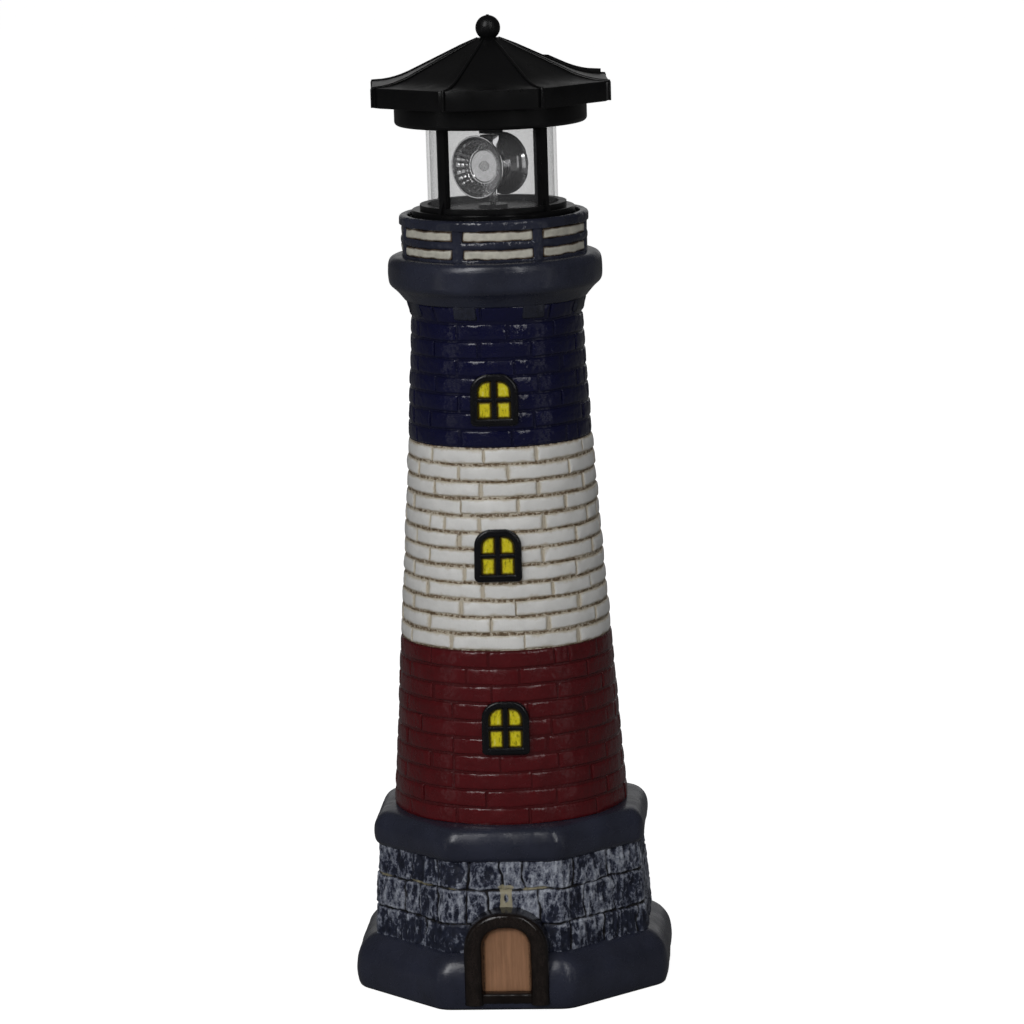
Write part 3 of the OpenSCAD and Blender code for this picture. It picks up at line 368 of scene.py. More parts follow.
def painted(name, colour, spread=0.16, rough=(0.28, 0.42), wash_and_shade=None, wash_and_shade_reach=(0.35, 0.8), brushed=None,
            brush_reach=(0.55, 0.75), grain=0.10, gloss=0.5, lump_size=14, dents=0.0, strokes=0.0):
    """Brush paint on cast stone: mottled colour, a darker colour in the hollows and a dry brush on the heights.

    The darker colour is a wash in brick joints and on the cream panels, and painted shade on the slate
    castings and the door surround. The piece's values hollow and height say where it and the dry brush go.
    Dents and level brush strokes in the paint are given by their depth in millimetres."""
    material, t, shader = finish(name)
    dark, light = shades(colour, spread)
    mottle = t.noise(lump_size, detail=5)
    tone = t.ramp(mottle, ((0.32, dark), (0.5, colour), (0.7, light)))
    if brushed:
        streaks = t.noise(3.2, stretch=(1, 1, 1.8), detail=8, rough=0.72, seed=2)
        high = t.plus(t.times(t.value("height"), 0.6), t.times(streaks, 0.55))
        tone = t.mix(t.ramp(high, ((brush_reach[0], 0.0), (brush_reach[1], 1.0))), tone, brushed)
    # Darker colour in the hollows: a wash on the cream panels and in brick joints, painted shade on the slate
    # and the door surround.
    if wash_and_shade:
        tone = t.soiled_and_shaded(tone, wash_and_shade, "hollow", t.noise(2.6, detail=6, rough=0.7, seed=5), 0.55, wash_and_shade_reach)
    fine = t.plus(t.noise(1.4, detail=6, rough=0.65, seed=3), t.times(t.noise(7, seed=4), 1.6))
    if dents:
        fine = t.share(t.noise(4.2, detail=1.5, seed=7), dents / grain, fine)
    if strokes:
        fine = t.share(t.noise(7, stretch=(1, 1, 0.16), detail=2, seed=8), strokes / grain, fine)
    polish = t.ramp(t.noise(9, detail=4, seed=9), ((0.3, rough[0]), (0.7, rough[1])))
    dress(t, shader, tone, polish, t.bump(fine, grain), gloss)
    return material


def moulded(name, colour, rough=0.35, grain=0.02, spread=0.12, gloss=0.4):
    """Injection-moulded plastic with a faint spark texture."""
    material, t, shader = finish(name)
    dark, light = shades(colour, spread)
    dress(t, shader, t.ramp(t.noise(20, detail=4), ((0.35, dark), (0.65, light))),
          t.ramp(t.noise(6, detail=3, seed=1), ((0.3, rough - 0.05), (0.7, rough + 0.07))),
          t.bump(t.noise(0.5, detail=2, seed=2), grain), gloss)
    return material


def bare_metal(name, colour, rough=0.2, spread=0.08, stretch=(1, 1, 1), metallic=1.0):
    """Metal with faint marks and uneven polish."""
    material, t, shader = finish(name)
    dark, light = shades(colour, spread)
    dress(t, shader, t.ramp(t.noise(4, stretch, detail=5), ((0.3, dark), (0.7, light))),
          t.ramp(t.noise(2, stretch, detail=6, seed=1), ((0.3, rough * 0.7), (0.7, rough * 1.4))),
          t.bump(t.noise(1.2, stretch, detail=3, seed=2), 0.01))
    shader.inputs["Metallic"].default_value = metallic
    return material


# ---------------------------------------------------------------- settings

class StudioSettings(bpy.types.PropertyGroup):
    """Where the camera stands and how the studio is lit"""

    distance: bpy.props.FloatProperty(name="Camera distance",
                                      description="From the tower axis, along the floor", default=2.48,
                                      unit="LENGTH")
    height: bpy.props.FloatProperty(name="Camera height", description="Above the floor", default=0.7,
                                    unit="LENGTH")
    azimuth: bpy.props.FloatProperty(name="Camera azimuth", description="From the door side towards +X",
                                     default=math.radians(4.3), subtype="ANGLE")
    pitch: bpy.props.FloatProperty(name="Downward pitch", description="Below the horizon",
                                   default=math.radians(9.985), subtype="ANGLE")
    pan: bpy.props.FloatProperty(name="Pan", description="To the right of the tower axis",
                                 default=math.radians(0.12), subtype="ANGLE")
    roll: bpy.props.FloatProperty(name="Roll", description="Turn about the line of sight",
                                  default=math.radians(-1.75), subtype="ANGLE")
    lens: bpy.props.FloatProperty(name="Focal length", description="On a 36 mm wide sensor", default=158.2)
    fill: bpy.props.FloatProperty(name="Fill light", description="Strength of the even light from all sides",
                                  default=0.22, min=0.0)
    mirrored: bpy.props.FloatProperty(name="Mirrored background",
                                      description="How white metal and gloss show the background",
                                      default=0.045, min=0.0)
    front: bpy.props.FloatProperty(name="Front light", description="Power of the large front panel in watts",
                                   default=26.0)
    key: bpy.props.FloatProperty(name="Key light", description="Power of the left softbox in watts",
                                 default=9.0)
    side: bpy.props.FloatProperty(name="Side light", description="Power of the right softbox in watts",
                                  default=1.6)
    rear: bpy.props.FloatProperty(name="Rear light", description="Power of the softbox behind in watts",
                                  default=10.0)
    strip: bpy.props.FloatProperty(name="Strips",
                                   description="Power of each standing strip that only gloss shows, in watts",
                                   default=0.09)
    glint: bpy.props.FloatProperty(name="Glints",
                                   description="Power of the card that only gloss shows, in watts",
                                   default=16.0)


class StoneSettings(bpy.types.PropertyGroup):
    """Sizes and paint of the stone base and the gallery"""

    slate: bpy.props.FloatVectorProperty(name="Slate paint", description="Foot, collar, gallery and rails",
                                         subtype="COLOR", default=(0.024, 0.027, 0.046))
    stone: bpy.props.FloatVectorProperty(name="Stone paint", description="Ground colour of the stones",
                                         subtype="COLOR", default=(0.013, 0.016, 0.031))
    brushed: bpy.props.FloatVectorProperty(name="Dry brush",
                                           description="Pale paint on the heights of the stones",
                                           subtype="COLOR", default=(0.46, 0.49, 0.56))
    wash_and_shade: bpy.props.FloatVectorProperty(name="Wash", description="Brown wash in the joints",
                                        subtype="COLOR", default=(0.008, 0.007, 0.007))
    stone_width: bpy.props.FloatProperty(name="Stone width",
                                         description="Middle width of a stone, in millimetres", default=22.0,
                                         min=8.0, max=30.0)
    relief: bpy.props.FloatProperty(name="Relief", description="Depth of the joints, in millimetres",
                                    default=1.7, min=0.5, max=2.5)
    seed: bpy.props.IntProperty(name="Seed", description="Layout of the stones", default=11)


class BrickSettings(bpy.types.PropertyGroup):
    """Sizes and paint of the brick bands"""

    red: bpy.props.FloatVectorProperty(name="Red paint", description="Lower band", subtype="COLOR",
                                       default=(0.094, 0.0050, 0.0075))
    white: bpy.props.FloatVectorProperty(name="White paint", description="Middle band", subtype="COLOR",
                                         default=(0.86, 0.855, 0.83))
    navy: bpy.props.FloatVectorProperty(name="Navy paint", description="Upper band", subtype="COLOR",
                                        default=(0.0045, 0.0050, 0.034))
    wash_and_shade: bpy.props.FloatVectorProperty(name="Wash", description="Brown wash in the white band's joints",
                                        subtype="COLOR", default=(0.155, 0.098, 0.046))
    bricks: bpy.props.IntProperty(name="Bricks in a course", description="Round the tower", default=10, min=6,
                                  max=16)
    joint: bpy.props.FloatProperty(name="Joint", description="Width of a joint, in millimetres", default=0.9)
    depth: bpy.props.FloatProperty(name="Depth", description="Depth of a joint, in millimetres", default=1.0)
    first_joint: bpy.props.FloatProperty(name="First joint",
                                         description="Azimuth of a joint in the lowest course",
                                         default=math.radians(12.5), subtype="ANGLE")
    shift: bpy.props.FloatProperty(name="Shift", description="Turn of every other course",
                                   default=math.radians(-19.0), subtype="ANGLE")
    uneven: bpy.props.FloatProperty(name="Unevenness",
                                    description="How far a brick sits off its place, in millimetres",
                                    default=0.3, min=0.0, max=1.0)
    wander: bpy.props.FloatProperty(name="Wander", description="How unevenly long the bricks of a course are",
                                    default=0.42, min=0.0, max=0.8)
    seed: bpy.props.IntProperty(name="Seed", description="Unevenness of the bricks", default=4)


class OpeningSettings(bpy.types.PropertyGroup):
    """Sizes and paint of the windows and the door"""

    width: bpy.props.FloatProperty(name="Window width", description="Over the frame, in millimetres",
                                   default=26.2)
    shoulder: bpy.props.FloatProperty(name="Shoulder",
                                      description="Rounding of the frame's top corners, in millimetres",
                                      default=10.0)
    border: bpy.props.FloatProperty(name="Border", description="Width of the frame, in millimetres",
                                    default=4.1)
    bar: bpy.props.FloatProperty(name="Bar", description="Width of a glazing bar, in millimetres",
                                 default=3.0)
    frame: bpy.props.FloatVectorProperty(name="Frame paint", description="Window frames", subtype="COLOR",
                                         default=(0.0045, 0.0045, 0.006))
    pane: bpy.props.FloatVectorProperty(name="Pane paint", description="Window panes", subtype="COLOR",
                                        default=(0.78, 0.67, 0.018))
    door: bpy.props.FloatVectorProperty(name="Door paint", description="Door panel", subtype="COLOR",
                                        default=(0.36, 0.185, 0.10))
    surround: bpy.props.FloatVectorProperty(name="Surround paint", description="Door surround",
                                            subtype="COLOR", default=(0.0085, 0.0055, 0.0045))


class LampSettings(bpy.types.PropertyGroup):
    """Finishes of the lamp head"""

    black: bpy.props.FloatVectorProperty(name="Black plastic", description="Roof, drum, posts and tray",
                                         subtype="COLOR", default=(0.0042, 0.0042, 0.0046))
    chrome: bpy.props.FloatVectorProperty(name="Chrome", description="Reflectors and hub", subtype="COLOR",
                                          default=(0.80, 0.80, 0.81))
    ribs: bpy.props.IntProperty(name="Reflector facets", description="Round one reflector", default=30, min=8,
                                max=48)


# ---------------------------------------------------------------- geometry trees

def new_tree(name, inputs):
    tree = bpy.data.node_groups.new(name, "GeometryNodeTree")
    tree.is_modifier = True
    tree.interface.new_socket("Geometry", in_out="INPUT", socket_type="NodeSocketGeometry")
    for label, kind, default in inputs:
        socket = tree.interface.new_socket(label, in_out="INPUT", socket_type="NodeSocket" + kind)
        if default is not None:
            socket.default_value = default
    tree.interface.new_socket("Geometry", in_out="OUTPUT", socket_type="NodeSocketGeometry")
    t = Tree(tree)
    return t, t.node("NodeGroupInput").outputs, t.node("NodeGroupOutput").inputs


def roughened(t, geometry, scale, seed, amount):
    """Moves the points of a geometry by noise."""
    at = t.node("GeometryNodeInputPosition").outputs[0]
    noise = t.node("ShaderNodeTexNoise", noise_dimensions="4D", in_Vector=at, in_W=seed, in_Scale=scale,
                   in_Detail=1.0).outputs["Color"]
    centred = t.node("ShaderNodeVectorMath", noise, (0.5, 0.5, 0.5), operation="SUBTRACT").outputs[0]
    push = t.node("ShaderNodeVectorMath", centred, in_Scale=amount, operation="SCALE").outputs[0]
    return t.node("GeometryNodeSetPosition", in_Geometry=geometry, in_Offset=push).outputs[0]


def ring_tree():
    """Copies the piece round the axis, then makes the copies uneven."""
    t, source, result = new_tree("Pieces round the axis", (
        ("Count", "Int", 8), ("First azimuth", "Float", 0.0), ("Unevenness", "Float", 0.0),
        ("Lump size", "Float", 0.01), ("Seed", "Int", 1), ("Finish", "Material", None)))
    points = t.node("GeometryNodePoints", source["Count"]).outputs[0]
    step = t.over(math.tau, source["Count"])
    angle = t.share(t.node("GeometryNodeInputIndex").outputs[0], step, source["First azimuth"])
    turn = t.node("ShaderNodeCombineXYZ", None, None, angle).outputs[0]
    copies = t.node("GeometryNodeInstanceOnPoints", in_Points=points, in_Instance=source["Geometry"],
                    in_Rotation=turn)
    solid = t.node("GeometryNodeRealizeInstances", copies.outputs[0]).outputs[0]
    moved = roughened(t, solid, t.over(1.0, source["Lump size"]), source["Seed"], source["Unevenness"])
    t.feed(result[0], t.node("GeometryNodeSetMaterial", moved, in_Material=source["Finish"]).outputs[0])
    return t.tree


def brick_tree():
    """Lays the brick in courses on an unrolled band, then wraps the band round the tower's cone."""
    t, source, result = new_tree("Bricks round a cone", (
        ("Split brick", "Object", None), ("Courses", "Int", 10), ("Bricks", "Int", 10),
        ("Course height", "Float", 0.0096), ("Foot height", "Float", 0.1), ("Foot radius", "Float", 0.066),
        ("Lean", "Float", -0.07), ("Waist height", "Float", 9.0), ("Flare", "Float", 0.0),
        ("First joint", "Float", 0.0), ("Shift", "Float", 0.3), ("Unevenness", "Float", 0.0003),
        ("Wander", "Float", 0.3), ("Seed", "Int", 1), ("Window azimuth", "Float", 0.0),
        ("Window height", "Float", 0.0), ("Window half width", "Float", 0.01),
        ("Window half height", "Float", 0.011), ("Finish", "Material", None)))
    index = t.node("GeometryNodeInputIndex").outputs[0]
    points = t.node("GeometryNodePoints", t.times(source["Courses"], source["Bricks"])).outputs[0]
    course = t.math("FLOOR", t.over(t.plus(index, 0.5), source["Bricks"]))
    number = t.less(index, t.times(course, source["Bricks"]))
    odd = t.math("MODULO", course, 2.0)
    step = t.over(math.tau, source["Bricks"])
    first = t.share(odd, source["Shift"], source["First joint"])
    angle = t.share(t.plus(number, 0.5), step, first)
    along = t.times(angle, source["Foot radius"])
    up = t.share(t.plus(course, 0.5), source["Course height"], source["Foot height"])
    spot = t.node("ShaderNodeCombineXYZ", along, 0.0, up).outputs[0]
    jitter = t.node("FunctionNodeRandomValue", data_type="FLOAT_VECTOR", in_Min=(-1.5, -0.7, -0.6),
                    in_Max=(1.5, 0.3, 0.6), in_Seed=source["Seed"])
    offset = t.node("ShaderNodeVectorMath", jitter.outputs[0], in_Scale=source["Unevenness"],
                    operation="SCALE").outputs[0]
    spots = t.node("GeometryNodeSetPosition", in_Geometry=points, in_Position=spot,
                   in_Offset=offset).outputs[0]
    split = t.node("FunctionNodeRandomValue", data_type="BOOLEAN", in_Probability=0.07,
                   in_Seed=t.plus(source["Seed"], 7.0))
    tilt = t.node("FunctionNodeRandomValue", data_type="FLOAT_VECTOR", in_Min=(-0.02, -0.012, -0.01),
                  in_Max=(0.02, 0.012, 0.01), in_Seed=t.plus(source["Seed"], 3.0)).outputs[0]
    shade = t.node("FunctionNodeRandomValue", data_type="FLOAT",
                   in_Seed=t.plus(source["Seed"], 5.0)).outputs[1]
    shaded = t.node("GeometryNodeStoreNamedAttribute", spots, data_type="FLOAT", domain="POINT",
                    in_Name="tint", in_Value=shade).outputs[0]
    whole = t.node("GeometryNodeInstanceOnPoints", in_Points=shaded, in_Instance=source["Geometry"],
                   in_Rotation=tilt,
                   in_Selection=t.node("FunctionNodeBooleanMath", split.outputs[3], operation="NOT").outputs[0])
    pair = t.node("GeometryNodeObjectInfo", source["Split brick"])
    parted = t.node("GeometryNodeInstanceOnPoints", in_Points=shaded, in_Instance=pair.outputs["Geometry"],
                    in_Rotation=tilt, in_Selection=split.outputs[3])
    laid = t.node("GeometryNodeJoinGeometry", whole.outputs[0])
    t.tree.links.new(parted.outputs[0], laid.inputs[0])
    flat = t.node("GeometryNodeRealizeInstances", laid.outputs[0]).outputs[0]
    at = t.node("ShaderNodeSeparateXYZ", t.node("GeometryNodeInputPosition").outputs[0]).outputs
    straight = t.over(at[0], source["Foot radius"])
    rise = t.less(at[2], source["Foot height"])
    layer = t.share(t.math("FLOOR", t.over(rise, source["Course height"])), 2.3, source["Seed"])
    ring = t.node("ShaderNodeCombineXYZ", t.math("COSINE", straight), t.math("SINE", straight),
                  layer).outputs[0]
    drift = t.node("ShaderNodeTexNoise", in_Vector=ring, in_Scale=1.7, in_Detail=1.0).outputs["Fac"]
    azimuth = t.share(t.less(drift, 0.5), source["Wander"], straight)
    cone = t.plus(t.share(rise, source["Lean"], source["Foot radius"]), at[1])
    over = t.math("MAXIMUM", t.less(at[2], source["Waist height"]), 0.0)
    flared = t.share(over, source["Flare"], cone)
    turned = t.node("ShaderNodeMath", azimuth, math.tau, 0.0, operation="WRAP")
    turned.inputs[1].default_value, turned.inputs[2].default_value = math.pi, -math.pi
    aside = t.math("ABSOLUTE", t.times(t.less(turned.outputs[0], source["Window azimuth"]), cone))
    above = t.math("ABSOLUTE", t.less(at[2], source["Window height"]))
    within = t.times(t.math("LESS_THAN", aside, source["Window half width"]),
                    t.math("LESS_THAN", above, source["Window half height"]))
    radius = t.share(within, -WINDOW_SINK * MM, flared)
    x = t.times(radius, t.math("SINE", azimuth))
    y = t.times(radius, t.times(t.math("COSINE", azimuth), -1.0))
    wrapped = t.node("GeometryNodeSetPosition", in_Geometry=flat,
                     in_Position=t.node("ShaderNodeCombineXYZ", x, y, at[2]).outputs[0])
    uneven = wrapped.outputs[0]
    for scale, share in ((75.0, 2.6), (320.0, 1.7)):
        uneven = roughened(t, uneven, scale, source["Seed"], t.times(source["Unevenness"], share))
    t.feed(result[0], t.node("GeometryNodeSetMaterial", uneven, in_Material=source["Finish"]).outputs[0])
    return t.tree


def grown(name, seed_object, tree, **inputs):
    """Runs a geometry tree on an object and keeps the result as a plain mesh."""
    modifier = seed_object.modifiers.new(tree.name, "NODES")
    modifier.node_group = tree
    sockets = {s.name: s.identifier for s in tree.interface.items_tree if s.in_out == "INPUT"}
    for label, value in inputs.items():
        modifier[sockets[label.replace("_", " ")]] = value
    bpy.context.view_layer.update()
    ready = seed_object.evaluated_get(bpy.context.evaluated_depsgraph_get())
    mesh = bpy.data.meshes.new_from_object(ready)
    bpy.data.objects.remove(seed_object)
    mesh.name = name
    return linked(name, mesh)


def named_tree(name, make):
    return bpy.data.node_groups.get(name) or make()


# ---------------------------------------------------------------- stone base

FOOT_PROFILE = ((92.2, 0.1), (93.2, 0.9), (94.4, 4.0), (95.1, 9.0), (95.0, 14.0), (94.4, 18.0), (92.8, 22.3),
                (89.6, 26.4), (86.0, 29.0), (82.4, 30.4))
COLLAR_PROFILE = ((78.4, 80.2), (80.2, 81.4), (81.5, 83.2), (82.0, 86.5), (81.9, 90.0), (81.3, 92.8),
                  (79.8, 95.6), (77.4, 98.0), (74.6, 99.2), (70.5, 99.7), (65.5, 100.0))


def door_niche(points):
    """Sets back what lies behind the door and the middle of its surround."""
    x, y, z = points[..., 0], points[..., 1], points[..., 2]
    inside = np.hypot(x - DOOR_SHIFT, np.maximum(z - DOOR_ARCH, 0)) < NICHE_HALF
    hit = inside & (y < -60) & (z > 6.0) & (z < 53)
    points[..., 1] = np.where(hit, np.maximum(y, -NICHE_DEPTH), y)
    return points


def base_casting(name, profile, inner, material, rounding, seed, columns=360, niche=False):
    outer = curve_through(profile, 1.3)
    top, foot = outer[-1, 1], outer[0, 1]
    rows = np.vstack([outer,
                      [(inner + 4, top), (inner, top - 0.4), (inner, foot + 0.4), (inner + 0.4, foot)]])
    az = azimuths(columns)[None, :]
    n = len(outer)
    radius = np.vstack([octagon(az, r, rounding) for r, _ in outer]
                       + [np.full((1, columns), r) for r, _ in rows[n:]])
    points = around(az, radius, rows[:, 1:2])
    free = np.zeros((len(rows), 1))
    free[:n] = ease(0, 3, np.arange(n))[:, None]
    push = (0.45 * lump(points, 23, seed) + 0.22 * lump(points, 8, seed + 1)
            + 0.05 * lump(points, 2.5, seed + 2) - 0.25)
    points = around(az, radius + push * free, rows[:, 1:2])
    if niche:
        points = door_niche(points)
    # hollow is 1 on the lowest rows and in the bore; the slate paint puts painted shade there, where the
    # casting meets what lies under it.
    return skin(name, points, material, ring=True, values={"hollow": 1 - free * np.ones_like(radius)})


def stone_layout(rng, middle_width, circumference):
    """Azimuths of the joints of one course."""
    widths = rng.uniform(0.45, 1.55, int(round(circumference / middle_width))) * middle_width
    edges = np.concatenate([[0], np.cumsum(widths)])
    return edges / edges[-1] * math.tau


def stone_courses(settings, material):
    """The three courses of stones, each stone with its own bulge and chips."""
    rng = np.random.default_rng(settings.seed)
    columns = 840
    az = azimuths(columns)[None, :]
    levels = np.arange(29.6, 81.4, 0.62)
    corner = np.interp(levels, (30, 44, 66, 81), (83.2, 82.2, 80.6, 79.2))
    radius = np.stack([octagon(az[0], r, 9.0) for r in corner])
    place_at = around(az, radius, levels[:, None])
    line = place_at * (1, 1, 0)
    joints = [29.0, 46 + 0.8 * lump(line, 14, 3)[0], 65 + 0.9 * lump(line, 12, 4)[0], 82.5]
    z = np.broadcast_to(levels[:, None], radius.shape)
    to_joint = np.full(radius.shape, 99.0)
    to_side = np.full(radius.shape, 99.0)
    bulge = np.zeros(radius.shape)
    tone = np.zeros(radius.shape)
    for course in range(3):
        low, high = joints[course] * np.ones(columns), joints[course + 1] * np.ones(columns)
        here = (z >= low) & (z < high)
        edges = stone_layout(rng, settings.stone_width, 490)
        wander = az + 0.020 * lump(place_at, (9, 9, 6), 20 + course) + course * 0.13
        stone = np.clip(np.searchsorted(edges, (wander % math.tau).ravel(), side="right") - 1, 0,
                        len(edges) - 2).reshape(radius.shape)
        left, right = edges[stone], edges[stone + 1]
        at = wander % math.tau
        aside = np.minimum(at - left, right - at) * 79
        upright = np.minimum(z - low, high - z)
        stand, lean = rng.uniform(-0.35, 0.3, len(edges)), rng.uniform(-0.35, 0.35, len(edges))
        middle = (at - left) / (right - left) * 2 - 1
        to_joint = np.where(here, upright, to_joint)
        to_side = np.where(here, aside, to_side)
        bulge = np.where(here, stand[stone] + lean[stone] * middle - 0.35 * middle ** 4, bulge)
        tone = np.where(here, rng.uniform(0.15, 0.95, len(edges))[stone], tone)
    gap = np.minimum(to_joint, to_side)
    gap = gap + 0.45 * lump(place_at, (2.2, 2.2, 3.5), 38)
    groove = 1 - ease(0.0, 1.2, gap)
    chips = (0.62 * lump(place_at, (2.7, 2.7, 7.5), 31) + 0.46 * lump(place_at, (1.6, 1.6, 3.6), 32)
             + 0.2 * lump(place_at, 1.0, 33))
    relief = bulge + chips * (1 - 0.6 * groove) - settings.relief * groove
    edge = np.exp(-((gap - 1.4) / 0.6) ** 2)
    outer = door_niche(around(az, radius + np.clip(relief, -2.4, 0.95) - 0.35, z))
    x, front = place_at[..., 0] - DOOR_SHIFT, place_at[..., 1] < 0
    key = 3.2 + 0.5 * ((z - 60) / 5) ** 2 + 0.4 * lump(place_at, 1.8, 37)
    eye = 1 - ease(0.55, 1.15, np.hypot(x / 1.7, (z - 60.5) / 3.0))
    cream = (front * ease(0.4, -0.4, np.abs(x) - key) * ease(53.0, 53.6, z) * ease(66.0, 65.2, z)
             * (1 - 0.6 * eye))
    cream = np.maximum(cream, 0.75 * np.exp(-((z - joints[2] - 0.4) / 1.3) ** 2)
                              * ease(-0.1, 0.5, lump(place_at, 16, 36)))
    cream = np.maximum(cream, front * np.exp(-((z - 66.6) / 1.5) ** 2 - (x / 5.0) ** 4))
    pale = np.clip(tone + 0.35 * lump(place_at, 15, 39) - 0.55 * ease(44, 33, z), 0, 1)
    height = np.clip(0.42 + 0.6 * chips + 0.32 * edge + 0.2 * bulge, 0, 1)
    inner = around(az, np.full((2, columns), BORE), np.array([[PLINTH_TOP], [FOOT_TOP]]))
    field = lambda v: np.vstack([v, np.zeros((2, columns))])
    return skin("stone_courses", np.vstack([outer, inner]), material, ring=True, sharp=180,
                values={"height": field(height), "hollow": field(groove), "cream": field(cream),
                        "pale": field(pale)})


class LIGHTHOUSE_OT_stone_base(bpy.types.Operator):
    """Builds the foot, the courses of stones and the collar"""

    bl_idname = "lighthouse.stone_base"
    bl_label = "Stone base"

    def execute(self, context):
        s = context.scene.lighthouse_stone
        slate = slate_paint(s)
        stones = self.stone_paint(tuple(s.stone), tuple(s.brushed), tuple(s.wash_and_shade))
        foot = base_casting("foot_casting", FOOT_PROFILE, BORE, slate, 13.0, 3, niche=True)
        place(foot, "ornament", "slate_paint", "base_foot")
        place(stone_courses(s, stones), "ornament", "stone_paint", "stone_plinth")
        collar = base_casting("collar_casting", COLLAR_PROFILE, BORE, slate, 12.0, 8)
        place(collar, "ornament", "slate_paint", "base_collar")
        return {"FINISHED"}

    def stone_paint(self, slate, pale, wash_and_shade):
        """Dark slate with pale paint dragged over the chisel marks, dark joints and a few yellowed spots."""
        material, t, shader = finish("Stone paint")
        dark, light = shades(slate, 0.4)
        tone = t.ramp(t.noise(5, detail=5), ((0.32, dark), (0.5, slate), (0.68, light)))
        wavy = t.math("ABSOLUTE", t.plus(t.noise(4.6, stretch=(1, 1, 1.9), detail=1.5, seed=2), -0.5))
        outlines = t.ramp(wavy, ((0.0, 1.0), (0.055, 0.0)))
        blots = t.noise(2.3, stretch=(1, 1, 1.5), detail=5, rough=0.62, seed=14)
        specks = t.noise(0.9, detail=3, rough=0.6, seed=12)
        high = t.share(t.value("height"), 0.26, t.share(t.value("pale"), 0.14, t.times(blots, 0.53)))
        high = t.share(outlines, 0.09, t.share(specks, 0.27, high))
        tone = t.mix(t.ramp(high, ((0.53, 0.0), (0.62, 1.0))), tone, (0.028, 0.035, 0.072))
        tone = t.mix(t.ramp(high, ((0.56, 0.0), (0.68, 0.42), (0.80, 0.92))), tone, pale)
        tone = t.soiled_and_shaded(tone, wash_and_shade, "hollow", t.noise(3, detail=5, seed=5), 0.6, (0.4, 0.8), 0.95)
        tone = t.soiled_and_shaded(tone, (0.40, 0.36, 0.24), "cream", t.noise(2.4, detail=5, rough=0.7, seed=6), 0.55,
                        (0.45, 0.75), 0.85)
        dress(t, shader, tone, t.ramp(blots, ((0.35, 0.34), (0.65, 0.62))),
              t.bump(t.plus(specks, t.times(blots, 1.5)), 0.3), gloss=0.35)
        return material


def slate_paint(s):
    # The near-black colour put in the hollows is painted shade: it darkens the lowest edges of the foot and the
    # collar, the gallery's underside and the corbels.
    return bpy.data.materials.get("Slate paint") or painted(
        "Slate paint", tuple(s.slate), spread=0.22, rough=(0.20, 0.34),
        wash_and_shade=(0.007, 0.007, 0.009), wash_and_shade_reach=(0.50, 0.9), grain=0.045, gloss=0.6, lump_size=22,
        dents=0.06, strokes=0.06)


# ---------------------------------------------------------------- brick tower

def brick_mesh(name, spans, tall, depth, material):
    """Bricks side by side from their left and right ends, with rounded faces, on y = 0."""
    bricks = []
    inset = np.array([0, 0.18, 0.6, 1.4, 2.9])
    drop = np.array([1.0, 0.58, 0.28, 0.10, 0.0])
    for left, right in spans:
        inner = np.linspace(left + 3.8, right - 3.8, max(2, int((right - left) / 2.4)))
        xs = np.concatenate([left + inset, inner, right - inset[::-1]])
        zs = np.concatenate([-tall / 2 + inset, [0], tall / 2 - inset[::-1]])
        near = lambda v, low, high: np.interp(np.minimum(v - low, high - v), inset, drop)
        ends, edges = near(xs, left, right)[None, :], near(zs, -tall / 2, tall / 2)[:, None]
        fall = np.maximum(ends, edges)
        soiled_and_shaded = np.maximum(0.75 * ends, edges) ** 0.7
        grid = np.stack(np.broadcast_arrays(xs[None, :], -fall * depth, zs[:, None]), -1)
        back = -depth - 1.2
        n, m = fall.shape
        index = np.arange(n * m).reshape(n, m)
        faces = [[index[r, c], index[r, c + 1], index[r + 1, c + 1], index[r + 1, c]] for r in range(n - 1)
                 for c in range(m - 1)]
        border = np.concatenate([index[0, :-1], index[:-1, -1], index[-1, :0:-1], index[:0:-1, 0]])
        rim = grid.reshape(-1, 3)[border].copy()
        rim[:, 1] = back
        far = n * m + np.arange(len(border))
        faces += [[a, b, d, c] for a, b, c, d in zip(border, far, np.roll(border, -1), np.roll(far, -1))]
        faces.append(far.tolist())
        points = np.vstack([grid.reshape(-1, 3), rim])
        hollow = np.concatenate([soiled_and_shaded.ravel(), np.full(len(border), 0.8)])
        bricks.append(mesh_object(name, points, [[int(i) for i in f] for f in faces], material,
                                  {"hollow": hollow}))
    return joined(name, bricks) if len(bricks) > 1 else bricks[0]


def tower_radius(z):
    return np.interp(z, [level for level, _ in TOWER], [r for _, r in TOWER])


